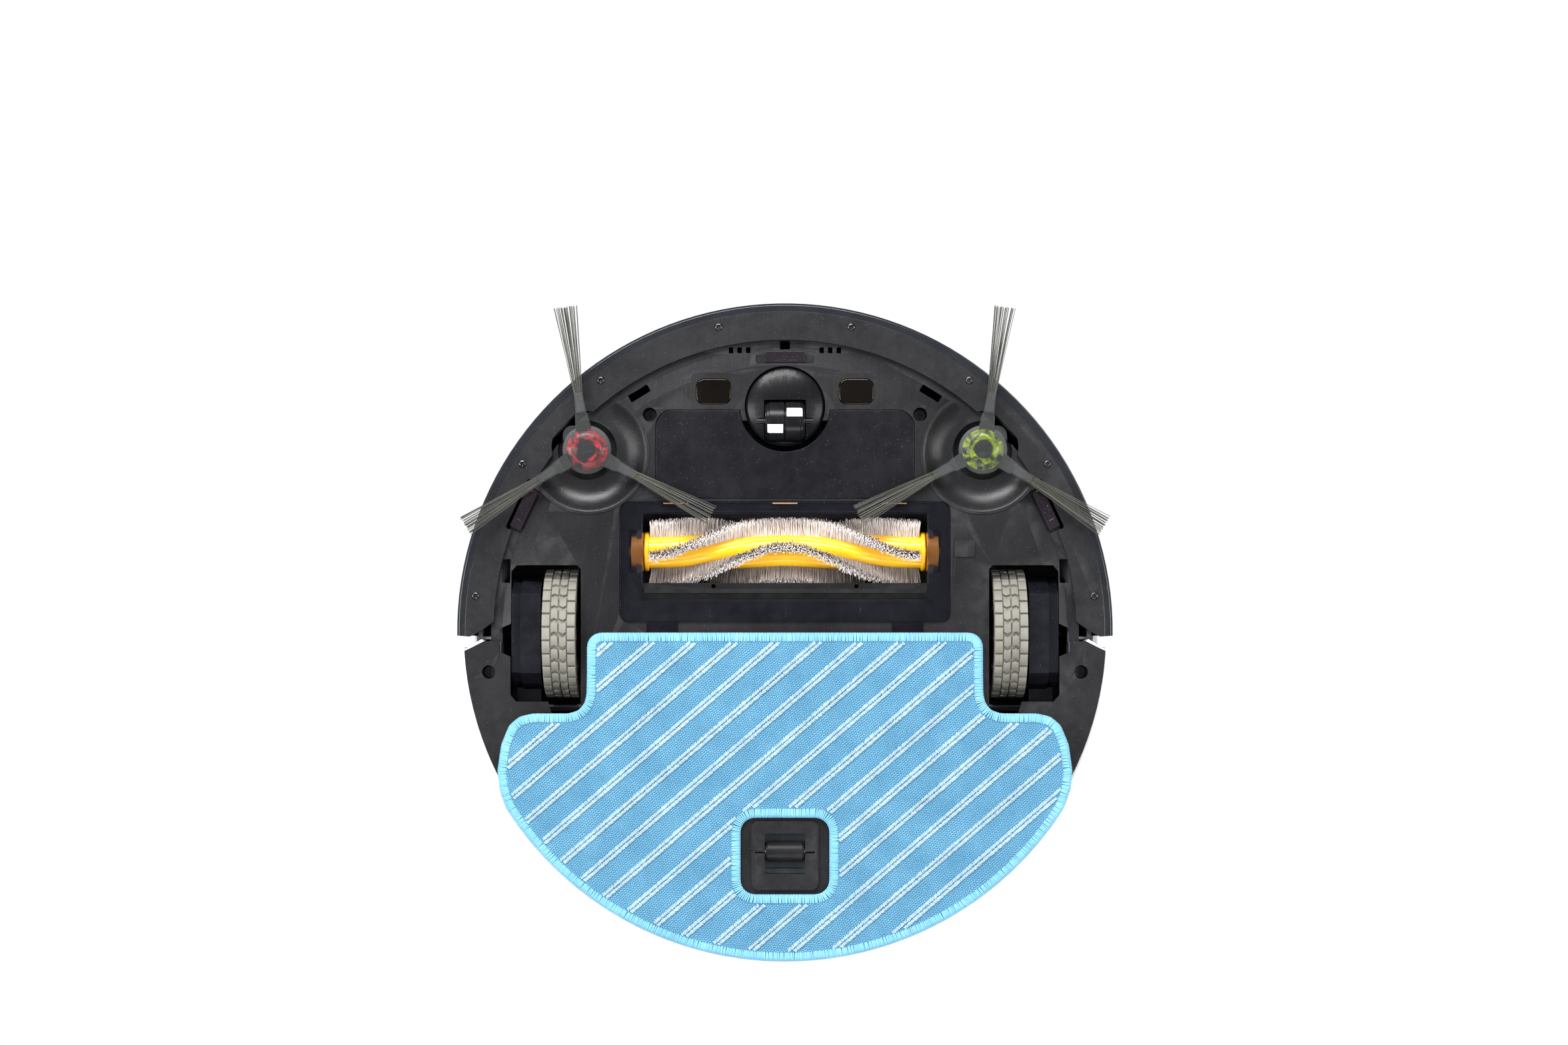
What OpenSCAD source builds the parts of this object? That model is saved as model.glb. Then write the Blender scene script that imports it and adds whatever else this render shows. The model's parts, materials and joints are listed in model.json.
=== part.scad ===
// Robot vacuum with mopping module. Millimetres. Origin on the floor under the body centre,
// +Y to the front, +Z up, +X to the robot's right.

/* [Body] */
// outside diameter of the bumper and the shell
body_d = 350; // [320:1:380]
// height of the top cover above the floor
body_h = 84; // [78:1:96]
// height of the laser turret above the top cover
turret_h = 14; // [12:0.5:18]
// floor clearance of the base plate
clearance = 10; // [9:0.5:12]
// thickness of the base plate
plate_t = 3; // [2.5:0.5:4]
// wall of the white shell
wall = 2.6; // [2:0.2:3.2]

/* [Bumper] */
// travel of the bumper towards the body
bumper_travel = 3.5; // [2:0.5:4]
// radial thickness of the glossy bumper skin
skin_t = 4.6; // [3.5:0.1:5]
// radial width of the lower bumper frame
band_w = 15; // [13:0.5:17]
// height of the bumper's bottom edge above the floor
bumper_z = 13.8; // [13:0.2:15]

/* [Drive] */
// outside diameter of the drive tyres
wheel_d = 69.5; // [64:0.5:72]
// width of the drive tyres
wheel_w = 17.8; // [15:0.1:19]
// distance from the centre line to the middle of each tyre
wheel_x = 119.7; // [117:0.1:121]
// height of the suspension pivot
pivot_z = 30; // [26:1:34]
// shaft clearance on the radius of every running fit
fit = 0.05; // [0.02:0.01:0.1]

/* [Caster] */
// diameter of the caster wheel
caster_d = 20.4; // [18:0.1:20.6]
// width of the caster wheel
caster_w = 21; // [16:0.5:22]
// trail of the caster wheel behind its swivel
trail = 8; // [6:0.5:9]

/* [Brushes] */
// reach of the side brushes from their own axis
side_reach = 76; // [60:1:80]
// distance of the side brush axes from the centre line
side_x = 105.5; // [100:0.5:108]
// distance of the side brush axes ahead of the body centre
side_y = 96.6; // [92:0.5:100]
// length of the main brush between its bearings
brush_l = 150; // [130:1:154]
// diameter over the main brush's bristles
brush_d = 38; // [32:0.5:40]
// diameter of the main brush's core
core_d = 18.6; // [15:0.2:22]

/* [Mop] */
// thickness of the mop cloth
cloth_t = 3; // [2:0.1:4]
// diameter of the rear roller
roller_d = 11; // [9:0.2:12]
// width of the water tank
tank_w = 190; // [150:2:196]

/* [Dust bin] */
// width of the dust bin
bin_w = 124; // [100:2:136]
// length of the dust bin
bin_l = 66; // [50:1:66]

/* [Hidden] */
R = body_d / 2;
z0 = clearance;
z1 = z0 + plate_t;
zt = body_h;
wz = wheel_d / 2;
wy = -1.3;
cy = 119.6;
cz = caster_d / 2;
by = 42.5;
bz = 22;
band_ri = R - skin_t - band_w;
screw_r = R - 9;
ridge_r = R - 33.5;
end_x = R - 15.2;
rear_screw_x = R - 17.5;
sensor_r = R - 21.2;
shell_ri = R - 1.6 - wall;
fan_step = (side_reach - 31) / 5;
front_sensor_y = R - 29;
screw_angles = [-83.5, -57.5, -36.3, -12.3];
pivot_y = -41;
tank_y = -95;
ry = -116.7;
rz = roller_d / 2;
bin_y1 = 6;
bin_y0 = bin_y1 - bin_l;
lid_y = -104;
$fn = 96;
// [Part shown: a node name, or all]

// ---- helpers -------------------------------------------------------------------------------

// corner points of a rounded rectangle
function rr(x0, y0, x1, y1, r, n = 6) = concat(
  [for (i = [0:n]) [x1 - r + r * cos(i * 90 / n), y1 - r + r * sin(i * 90 / n)]],
  [for (i = [0:n]) [x0 + r + r * cos(90 + i * 90 / n), y1 - r + r * sin(90 + i * 90 / n)]],
  [for (i = [0:n]) [x0 + r + r * cos(180 + i * 90 / n), y0 + r + r * sin(180 + i * 90 / n)]],
  [for (i = [0:n]) [x1 - r + r * cos(270 + i * 90 / n), y0 + r + r * sin(270 + i * 90 / n)]]);
// upright block with rounded corners
module rbox(x0, y0, x1, y1, r, za, zb)
  translate([0, 0, za]) linear_extrude(zb - za) polygon(rr(x0, y0, x1, y1, r));
// upright block
module blk(x0, y0, x1, y1, za, zb) translate([x0, y0, za]) cube([x1 - x0, y1 - y0, zb - za]);
// upright cylinder
module cyl(x, y, r, za, zb) translate([x, y, za]) cylinder(r = r, h = zb - za);
// ring about the Z axis
module ring(ro, ri, za, zb) difference() { cyl(0, 0, ro, za, zb); cyl(0, 0, ri, za - 1, zb + 1); }
// cylinder along X
module xcyl(xa, xb, y, z, r) translate([xa, y, z]) rotate([0, 90, 0]) cylinder(r = r, h = xb - xa);
// both sides of the robot
module pair() { children(); mirror([1, 0, 0]) children(); }
// flat-topped extrusion of a point list
module slab(p, za, zb) translate([0, 0, za]) linear_extrude(zb - za) polygon(p);

// outline of the mop plate and its cloth, right side only, from the front centre round to the rear
rear_r = R - 1;
mop_half = concat(
  [for (i = [0:6]) [97 + 7 * sin(i * 15), -8.3 + 7 * cos(i * 15)]],
  [[104, -22], [104.2, -33], [105.2, -38], [108.6, -42.2], [114, -44]],
  [[133, -44], [140, -45.6], [145.2, -50], [149.3, -60], [151.3, -74], [150.2, -84]],
  [for (i = [0:16]) [rear_r * cos(-32.5 - i * 57.5 / 16), rear_r * sin(-32.5 - i * 57.5 / 16)]]);
mop_pts = concat(mop_half, [for (i = [len(mop_half) - 2:-1:0]) [-mop_half[i][0], mop_half[i][1]]]);

// well of a drive wheel through the base plate
well_pts = [[108.5, -44], [124, -44], [126, -37.5], [143, -37.5], [146, -34], [146, -13.5],
  [151.9, -11], [151.9, 1.5], [146, 4], [146, 32], [143, 35.1], [110.5, 35.1], [108.5, 33]];

// ---- chassis -------------------------------------------------------------------------------

// edge of the plate where the bumper frame slides under it
plate_lip = R - 18;
slope_r = band_ri - bumper_travel - 0.8;
module front_dish()
  intersection() {
    rotate_extrude($fn = 180)
      polygon([[0, z0], [ridge_r, z0], [slope_r, z0 + 6.3], [plate_lip, z0 + 6.3],
        [plate_lip, z0 + 8.5], [ridge_r + 8, z0 + 8.5], [ridge_r - 1.5, z0 + plate_t], [0, z0 + plate_t]]);
    blk(-R, -5.6, R, R, 0, 40);
  }
module base_plate() color([0.035, 0.036, 0.04])
  difference() {
    union() {
      front_dish();
      // rear half, up to the white shell
      intersection() {
        cyl(0, 0, shell_ri, z0, z1);
        slab([[-R, -R], [R, -R], [R, -12.5], [end_x, -5.6], [-end_x, -5.6], [-R, -12.5]], 0, 40);
      }
      // bowls round the side brushes, and the bosses of their motors
      pair() intersection() {
        cyl(side_x - 1, side_y - 2, 32.5, z0 - 0.5, z0 + 9);
        cyl(0, 0, slope_r, 0, zt);
      }
      pair() intersection() {
        cyl(side_x, side_y, 18.6, z1, z0 + 16);
        union() { cyl(0, 0, slope_r, 0, zt); cyl(0, 0, plate_lip, z0 + 6.3, zt); }
      }
      // cup of the caster
      cyl(0, cy, 24, z1, z0 + 19);
      // walls of the battery bay
      blk(-71, 70, 71, 72.6, z1, z0 + 12);
      // raised pad beside the brush cover
      rbox(-101, 39.5, -90, 48.5, 1, z0 - 0.8, z0 + 1);
      // bosses of the deep screws
      pair() { cyl(71.9, 115.2, 6.5, z1, z0 + 14); cyl(rear_screw_x, -21.7, 5, z1, z0 + 14); }
    }
    // side brush bowls
    pair() {
      translate([side_x - 1, side_y - 2, z0]) rotate_extrude($fn = 120)
        polygon([[0, -0.6], [31.6, -0.6], [30.6, -0.2], [29.4, 0.8], [27.6, 2.6], [25, 4.4], [22, 5.6],
          [18.6, 6.2], [0, 6.2]]);
      cyl(side_x, side_y, 15.8, z0 - 1, z0 + 13);
      cyl(side_x, side_y, 3.2, z0, z0 + 30);
    }
    // caster cup and its swivel hole
    cyl(0, cy, 21.4, z0 - 1, z0 + 16);
    cyl(0, cy, 4 + fit, z0, z0 + 40);
    // drive wells
    pair() slab(well_pts, z0 - 1, z0 + 20);
    // main brush opening and the recess of its cover
    rbox(-76.5, 15.5, 76.5, 64, 1, z0 - 1, z0 + 5);
    pair() rbox(75, by - 11.5, 83, by + 11.5, 1, z0 - 1, z0 + 5);
    rbox(-88, 4.6, 88, 69, 5, z0 - 1, z0 + 1.6);
    pair() rbox(56.8, -2, 73.6, 8, 0.8, z0 - 1, z0 + 1.6);
    // battery bay
    rbox(-64, 76, 64, 112, 3, z0 - 1, z0 + 20);
    difference() {
      rbox(-69, 70.4, 69, 117.8, 9, z0 - 1, z0 + 1.6);
      cyl(0, cy, 23.8, z0 - 2, z0 + 4);
    }
    // pockets of the charging contacts
    pair() rbox(25.6, 118, 50.1, 137.8, 4, z0 - 1, z0 + 20);
    // front drop sensor and its slot
    rbox(-15.6, front_sensor_y - 3.5, 15.6, front_sensor_y + 3.6, 1.6, z0 - 1, z0 + 4.4);
    rbox(-2.7, R - 24.6, 2.7, R - 20, 0.4, z0 - 1, z0 + 20);
    // side drop sensors
    pair() rotate(-65) rbox(-12.5, sensor_r - 4.6, 12.5, sensor_r + 4.6, 1.5, z0 - 1, z0 + 7.4);
    // bumper travel slots and combs
    pair() {
      rotate(-31.5) rbox(-6, R - 28.5, 6, R - 24, 0.5, z0 - 1, z0 + 20);
      blk(R - 28.4, 25.8, R - 24, 38.8, z0 - 1, z0 + 20);
      for (i = [0:2]) blk(18.4 + i * 4.6, R - 26.6, 20.8 + i * 4.6, R - 23.4, z0 - 1, z0 + 20);
    }
    // deep screw holes
    pair() {
      cyl(71.9, 115.2, 3.7, z0 - 1, z0 + 9);
      cyl(71.9, 115.2, 1.6, z0, z0 + 30);
      cyl(rear_screw_x, -21.7, 3.6, z0 - 1, z0 + 9);
      cyl(rear_screw_x, -21.7, 1.6, z0, z0 + 30);
    }
    // mouth for the water tank
    blk(-tank_w / 2 - 0.8, -R, tank_w / 2 + 0.8, tank_y + 0.8, z0 - 1, z0 + 40);
  }

// inner frame: curved front wall and the deck that carries the top cover
hx0 = 107;
hx1 = 152.4;
deck_z = zt - 12.5;
module mid_frame() color([0.09, 0.09, 0.1]) {
  difference() {
    union() {
      // curved front wall behind the bumper
      difference() {
        cyl(0, 0, R - 11.2, z0 + 8.5, zt - 10);
        cyl(0, 0, R - 13.4, z0 + 8, zt - 9);
        blk(-R - 1, -R - 1, R + 1, -3, z0, zt);
      }
      cyl(0, 0, R - 15.4, deck_z, zt - 10);
      intersection() {
        cyl(0, 0, R - 13, deck_z, zt - 10);
        blk(-R, -2.9, R, R, 0, zt);
      }
    }
    // way in for the dust bin
    blk(-bin_w / 2 - 0.4, bin_y0 - 0.4, bin_w / 2 + 0.4, bin_y1 + 0.4, z1, zt);
    // seams between its four moulded parts
    pair() blk(bin_w / 2 + 0.38, -R, bin_w / 2 + 0.42, R, 0, zt);
    // room for the laser drive
    cyl(0, lid_y, 38, zt - 20, zt);
    // wires from the power button
    cyl(0, 74, 6, zt - 20, zt);
  }
}
// housing over a drive wheel, with the ears of the suspension pivot
module wheel_housing()
  difference() {
    blk(hx0, -50, hx1, 40, z1, deck_z);
    blk(hx0 + 1.4, -48.6, hx1 - 1.2, 38.6, z1 - 1, deck_z - 1.4);
    // the sloped edge of the base plate
    difference() {
      blk(-R, -5.7, R, R, 0, z0 + 8.5);
      cyl(0, 0, ridge_r - 1.5, 0, zt);
    }
    xcyl(hx0 - 1, hx1 + 1, pivot_y, pivot_z, 2.5);
  }
module wheel_housing_right() color([0.1, 0.1, 0.11]) wheel_housing();
module wheel_housing_left() color([0.1, 0.1, 0.11]) mirror([1, 0, 0]) wheel_housing();
// open-topped bay of the dust bin
module bin_bay() color([0.1, 0.1, 0.11])
  difference() {
    blk(-bin_w / 2 - 2.6, bin_y0 - 2.6, bin_w / 2 + 2.6, bin_y1 + 2.6, z1, deck_z);
    blk(-bin_w / 2 - 0.4, bin_y0 - 0.4, bin_w / 2 + 0.4, bin_y1 + 0.4, z1 + 1.5, zt);
    blk(-bin_w / 2 - 0.4, bin_y1 - 2, bin_w / 2 + 0.4, bin_y1 + 5, 19.6, 51);
    // suction port towards the fan
    translate([0, bin_y0 + 2, 36]) rotate([90, 0, 0]) cylinder(r = 15, h = 12);
  }

module top_cover() color([0.86, 0.87, 0.88])
  difference() {
    union() {
      // disc with a soft edge
      rotate_extrude($fn = 180)
        polygon(concat([[0, zt - wall], [R - 4, zt - wall], [R - 3.2, zt - 10], [R - 0.6, zt - 10]],
          [for (i = [0:6]) [R - 6.6 + 6 * cos(i * 15), zt - 6 + 6 * sin(i * 15)]], [[0, zt]]));
      // rear skirt
      difference() {
        cyl(0, 0, R - 0.6, z0 + 2.2, zt - 9.9);
        cyl(0, 0, shell_ri, z0, zt);
        slab([[-R - 1, R + 1], [-R - 1, -11], [-end_x, -3.9], [end_x, -3.9], [R + 1, -11],
          [R + 1, R + 1]], 0, zt);
      }
      // ends of the skirt beside the bumper
      pair() slab([[end_x + 0.4, -5.3], [end_x + 1.8, -4.3], [R - 2.4, -10.8], [R - 3.8, -10.9]],
        z0 + 2.2, zt - 10);
      // rim under the deck
      ring(R - 14, R - 16, zt - 10, zt - wall + 0.1);
    }
    // dust bin lid
    rbox(-bin_w / 2 - 0.7, bin_y0 - 0.7, bin_w / 2 + 0.7, bin_y1 + 0.7, 7, zt - 4, zt + 1);
    // power button
    cyl(0, 74, 9.6, zt - 4, zt + 1);
    // laser turret
    cyl(0, lid_y, 38, zt - 20, zt + 1);
    // water tank
    blk(-tank_w / 2 - 0.8, -R - 1, tank_w / 2 + 0.8, -60, 0, 44.6);
    // exhaust slots in the rear wall
    for (a = [-30:5:30]) rotate(a) blk(-3, -R - 1, 3, -R + 8, 54, 57);
    for (a = [-30:5:30]) rotate(a) blk(-3, -R - 1, 3, -R + 8, 60, 63);
  }

// deep screws of the base plate
module base_screws() color([0.45, 0.45, 0.47])
  pair() for (p = [[71.9, 115.2], [rear_screw_x, -21.7]])
    difference() {
      union() { cyl(p[0], p[1], 3, z0 + 7.2, z0 + 9); cyl(p[0], p[1], 1.5, z0 + 9, z0 + 13.8); }
      translate([p[0], p[1], z0 + 7]) for (a = [0, 90]) rotate(a) blk(-1.8, -0.4, 1.8, 0.4, 0, 1.4);
    }

module battery_cover() color([0.022, 0.023, 0.03])
  difference() {
    rbox(-68.6, 70.8, 68.6, 117.4, 9, z0 - 0.2, z0 + 1.6);
    cyl(0, cy, 24.2, z0 - 2, z0 + 4);
  }

module battery_pack() color([0.1, 0.22, 0.5]) {
  rbox(-63, 77, 63, 94.4, 8, z0 + 1.6, z0 + 26);
  rbox(-63, 94.6, -27, 111, 8, z0 + 1.6, z0 + 26);
  rbox(27, 94.6, 63, 111, 8, z0 + 1.6, z0 + 26);
}

module main_board() color([0.05, 0.3, 0.16]) {
  difference() {
    rbox(-75, 58, 75, 128, 3, 52, 53.6);
    pair() cyl(69, 122, 1.6, 51, 55);
    pair() cyl(69, 64, 1.6, 51, 55);
  }
  rbox(-18, 84, 8, 110, 1, 53.6, 56);
  rbox(24, 70, 44, 86, 1, 53.6, 55.4);
  for (i = [0:4]) blk(-60 + i * 12, 62, -52 + i * 12, 70, 53.6, 60);
  pair() blk(60, 90, 66, 106, 53.6, 61);
}

module contact_bezels() color([0.02, 0.02, 0.022])
  pair() difference() {
    union() {
      rbox(25.6, 118, 50.1, 137.8, 4, z0 - 0.2, z0 + 2.8);
      rbox(27, 119.2, 48.8, 136, 4, z0 + 2.8, z0 + 6);
    }
    rbox(28.6, 120.3, 47.3, 134.2, 4.4, z0 - 1, z0 + 3.4);
  }
module charging_contact_right() color([0.28, 0.22, 0.18])
  rbox(28.8, 120.5, 47.1, 134, 4.2, z0 - 0.6, z0 + 3.4);
module charging_contact_left() color([0.28, 0.22, 0.18])
  mirror([1, 0, 0]) rbox(28.8, 120.5, 47.1, 134, 4.2, z0 - 0.6, z0 + 3.4);

// drop sensors: a dark holder with two small lenses
module cliff_window(half, depth, za)
  difference() {
    rbox(-half, -depth, half, depth, 1, za, za + 2);
    for (x = [-3.6, 3.6]) rbox(x - 2.6, -1.6, x + 2.6, 1.6, 0.8, za - 1, za + 0.6);
  }
module cliff_window_front() color([0.03, 0.022, 0.03])
  translate([0, front_sensor_y, 0]) cliff_window(10.5, 2.9, z0 + 2.4);
module cliff_window_right() color([0.03, 0.022, 0.03])
  rotate(-65) translate([0, sensor_r, 0]) cliff_window(11, 3.2, z0 + 5.4);
module cliff_window_left() color([0.03, 0.022, 0.03])
  rotate(65) translate([0, sensor_r, 0]) cliff_window(11, 3.2, z0 + 5.4);

module side_brush_motors() color([0.5, 0.5, 0.52])
  pair() difference() {
    union() {
      rbox(side_x - 18, side_y - 14, side_x + 14, side_y + 14, 5, z0 + 16, z0 + 29);
      cyl(side_x - 5, side_y, 10, z0 + 29, z0 + 44);
    }
    cyl(side_x, side_y, 3 + fit, z0 + 15, z0 + 26);
  }

// half tunnel over the main brush with the duct to the dust bin
module brush_chamber() color([0.12, 0.12, 0.13])
  difference() {
    union() {
      rbox(-79, 13.4, 79, 67.4, 2, z0 + 5, 50);
      blk(-79, 13.4, 79, 67.4, z1, z0 + 5);
    }
    xcyl(-76.4, 76.4, by, bz, brush_d / 2 + 2.4);
    blk(-76.4, by - brush_d / 2 - 2.4, 76.4, by + brush_d / 2 + 2.4, z0 - 1, bz);
    blk(-76.4, 16, 76.4, by, z0 - 1, bz - 4);
    // shaft of the belt drive
    xcyl(-80, -76, by, bz, 11.4);
    xcyl(76, 80, by, bz, 11.4);
    // mouth to the dust bin
    blk(-50, 12, 50, by, 25, 45);
  }

module scraper_strip() color([0.03, 0.03, 0.03])
  difference() {
    union() {
      blk(-76.5, 17.3, 76.5, 25.6, z0 + 1.6, z0 + 3);
      blk(-74.5, 20.2, 74.5, 22.4, z0 - 3, z0 + 1.6);
    }
    pair() cyl(38, 24, 1.2, 10, 15);
  }

// gearmotor and belt case of the main brush
module brush_motor() color([0.32, 0.32, 0.34]) {
  difference() {
    rbox(-104, 26, -86.2, 62, 4, z1, 48);
    xcyl(-90, -86, by, bz, 4.6);
  }
  xcyl(-86.2, -81, 56, 36, 6);
  rbox(-100, 56, -88, 81, 4, 26.4, 48);
}

module fan_housing() color([0.2, 0.2, 0.22])
  difference() {
    union() {
      cyl(0, -82, 17.6, 44, zt - 18);
      translate([0, bin_y0 - 2.8, 36]) rotate([90, 0, 0]) cylinder(r = 17, h = 5);
      rbox(-24, -97, 24, bin_y0 - 6, 4, 46, 60);
    }
    cyl(0, -82, 16, 45.6, zt - 22);
    cyl(0, -82, 10, zt - 23, zt - 17);
    cyl(0, -82, 2 + fit, 40, 46);
    translate([0, bin_y0, 36]) rotate([90, 0, 0]) cylinder(r = 15, h = 14);
    blk(-10, bin_y0 - 20, 10, bin_y0 - 7, 30, 61);
  }
module fan_impeller() color([0.55, 0.56, 0.58]) {
  cyl(0, -82, 2, 44.2, 47);
  cyl(0, -82, 15.2, 47, 48.4);
  cyl(0, -82, 5, 48.4, 58);
  for (a = [0:30:330])
    translate([0, -82, 48.4]) rotate(a) translate([4.6, -0.5, 0]) rotate([0, 0, 24]) cube([9.4, 0.9, 8]);
}

// ---- laser turret --------------------------------------------------------------------------

lr = 37;
module lidar_base() color([0.04, 0.04, 0.045])
  difference() {
    union() {
      cyl(0, lid_y, lr + 0.9, zt - 18, zt + 3);
      for (a = [60, 180, 300]) translate([0, lid_y, 0]) rotate(a)
        blk(lr - 3.4, -2.6, lr, 2.6, zt + 2, zt + turret_h - 3);
    }
    cyl(0, lid_y, 32.6, zt - 14, zt + 4);
    cyl(0, lid_y, 4 + fit, zt - 19, zt);
  }
module lidar_rotor() color([0.012, 0.012, 0.014])
  difference() {
    union() {
      cyl(0, lid_y, 4, zt - 17.6, zt - 12);
      cyl(0, lid_y, 31.6, zt - 12, zt - 6);
      cyl(0, lid_y, 30, zt - 6, zt + turret_h - 3.6);
    }
    translate([0, lid_y, 0]) rotate(20) {
      rbox(-14, 25.5, -2, 40, 1, zt + 3.4, zt + 9);
      rbox(4, 25.5, 13, 40, 1, zt + 3.4, zt + 9);
    }
  }
module lidar_cover() color([0.85, 0.86, 0.87])
  translate([0, lid_y, 0]) rotate_extrude($fn = 120)
    polygon([[0, zt + turret_h - 3], [lr - 0.6, zt + turret_h - 3], [lr + 0.6, zt + turret_h - 2],
      [lr + 0.2, zt + turret_h - 1], [lr - 2.4, zt + turret_h], [0, zt + turret_h]]);

module power_button() color([0.8, 0.81, 0.83]) {
  cyl(0, 74, 7.2, zt - 1.6, zt + 0.6);
  cyl(0, 74, 3, zt - 8, zt - 1.6);
}
module status_ring() color([0.9, 0.95, 1])
  translate([0, 74, 0]) { ring(9.6, 7.6, zt - 2.6, zt + 0.1); ring(9.6, 8.8, zt - 4.4, zt - 2.6); }

// ---- dust bin ------------------------------------------------------------------------------

bz0 = z1 + 2.5;
module dust_bin() color([0.2, 0.21, 0.23, 0.6])
  difference() {
    rbox(-bin_w / 2, bin_y0, bin_w / 2, bin_y1, 5, bz0, zt - 9);
    rbox(-bin_w / 2 + 2, bin_y0 + 2, bin_w / 2 - 2, bin_y1 - 2, 4, bz0 + 2, zt);
    // mouth towards the brush
    blk(-48, bin_y1 - 3, 48, bin_y1 + 1, 26, 44);
    // outlet to the fan
    translate([0, bin_y0 + 4, 36]) rotate([90, 0, 0]) cylinder(r = 14, h = 6);
  }
module bin_lid() color([0.82, 0.83, 0.85])
  difference() {
    union() {
      rbox(-bin_w / 2, bin_y0, bin_w / 2, bin_y1, 6.4, zt - 9, zt - 6.5);
      rbox(-bin_w / 2, bin_y0, bin_w / 2, bin_y1, 6.4, zt - 6.5, zt);
    }
    rbox(-bin_w / 2 + 12, bin_y0 + 12, bin_w / 2 - 12, bin_y1 - 10, 6, zt - 5.8, zt + 1);
    xcyl(-bin_w / 2 + 6, bin_w / 2 - 6, bin_y0 + 20, zt - 2.6, 1.5 + fit);
  }
module bin_handle() color([0.55, 0.56, 0.58]) {
  difference() {
    rbox(-bin_w / 2 + 13.4, bin_y0 + 17.8, bin_w / 2 - 13.4, bin_y1 - 12, 5, zt - 4.6, zt - 0.8);
    rbox(-bin_w / 2 + 21, bin_y0 + 24, bin_w / 2 - 21, bin_y1 - 19, 4, zt - 6, zt + 1);
  }
  xcyl(-bin_w / 2 + 8, bin_w / 2 - 8, bin_y0 + 20, zt - 2.6, 1.5);
}
module bin_filter() color([0.9, 0.9, 0.88]) {
  difference() {
    blk(-30, bin_y0 + 2, 30, bin_y0 + 10, 19, 54);
    blk(-27, bin_y0 + 1, 27, bin_y0 + 11, 22, 51);
  }
  for (i = [0:17]) blk(-26.6 + i * 3, bin_y0 + 3, -25.4 + i * 3, bin_y0 + 9, 21.9, 51.1);
}

// ---- bumper --------------------------------------------------------------------------------

bt = zt - 12.2;
module front_half() intersection() {
  children();
  slab([[-R - 1, R + 1], [-R - 1, -2.4], [6.9 - R, -2.9], [14.9 - R, 1.6], [25 - R, 9], [R - 25, 9],
    [R - 14.9, 1.6], [R - 6.9, -2.9], [R + 1, -2.4], [R + 1, R + 1]], 0, 100);
}
module bumper_skin() color([0.03, 0.038, 0.05])
  front_half() rotate_extrude($fn = 200)
    polygon([[R - skin_t, bumper_z], [R - 1.2, bumper_z], [R, bumper_z + 1.6], [R, bt - 5], [R - 0.6, bt - 2],
      [R - 2.4, bt], [R - skin_t, bt], [R - skin_t, bt - 2.4], [R - 2.6, bt - 4], [R - 2.4, bumper_z + 4],
      [R - skin_t, bumper_z + 2.6]]);
module bumper_band() color([0.03, 0.031, 0.036])
  difference() {
    front_half() ring(R - skin_t, band_ri, bumper_z, z0 + 6);
    // room round the side brush bowls and the side drop sensors
    pair() {
      intersection() {
        cyl(side_x, side_y + bumper_travel / 2, 17.2 + bumper_travel / 2, 0, 30);
        cyl(0, 0, plate_lip + bumper_travel + 0.4, 0, 30);
      }
      rotate(-65) rbox(-16, sensor_r - 14, 13, plate_lip + 1.5, 1.5, 0, 30);
      for (a = screw_angles) rotate(a) cyl(0, screw_r, 1.2, 0, 30);
    }
  }
module bumper_screws() color([0.05, 0.05, 0.055])
  pair() for (a = screw_angles) rotate(a)
    difference() {
      union() { cyl(0, screw_r, 2.2, bumper_z - 0.9, bumper_z); cyl(0, screw_r, 1.2, bumper_z, z0 + 6); }
      translate([0, screw_r, bumper_z - 1]) for (t = [0, 90]) rotate(t) blk(-1.4, -0.3, 1.4, 0.3, 0, 0.8);
    }

// ---- main brush ----------------------------------------------------------------------------

module brush_cover() color([0.03, 0.03, 0.045, 0.85])
  difference() {
    union() {
      rbox(-87.5, 5, 87.5, 68.6, 5, z0 - 1.2, z0 + 1.4);
      pair() rbox(57.3, -0.7, 73.1, 8, 0.6, z0 - 0.8, z0 + 1.4);
    }
    rbox(-75.5, 16.9, 75.5, 62.4, 2, z0 - 2, z0 + 3);
    // three thin marks across the lower band
    for (x = [-40, 0, 40]) blk(x - 0.4, 7, x + 0.4, 14, z0 - 2, z0 - 0.9);
    pair() blk(51, 66, 65, 70, z0 - 2, z0 - 0.2);
    blk(-7, 66, 7, 70, z0 - 2, z0 - 0.2);
  }
module main_brush_core() color([0.95, 0.6, 0.08])
  difference() {
    union() {
      xcyl(-brush_l / 2 + 1, brush_l / 2 - 1, by, bz, core_d / 2);
      pair() xcyl(brush_l / 2 - 2.6, brush_l / 2 - 0.2, by, bz, 10.5);
      pair() xcyl(brush_l / 2 - 1, 87, by, bz, 3);
    }
  }
// bristle rows as thin walls, in a V about the middle
module row(a0) for (i = [0:7]) pair()
  translate([i * 9, by, bz]) rotate([a0 + i * 11.5, 0, 0]) translate([0, -1.4, core_d / 2 - 0.3])
    cube([9.05, 2.8, (brush_d - core_d) / 2 - 0.4]);
module main_brush_bristles() color([0.8, 0.74, 0.7])
  difference() {
    for (a = [0:72:288]) row(a - 100);
    xcyl(-90, 90, by, bz, core_d / 2);
  }
module main_brush_bearings() color([0.75, 0.42, 0.12])
  pair() difference() {
    xcyl(brush_l / 2 + 0.6, 82, by, bz, 10.5);
    xcyl(brush_l / 2 - 1, 90, by, bz, 3 + fit);
  }

// ---- drive wheels --------------------------------------------------------------------------

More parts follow.
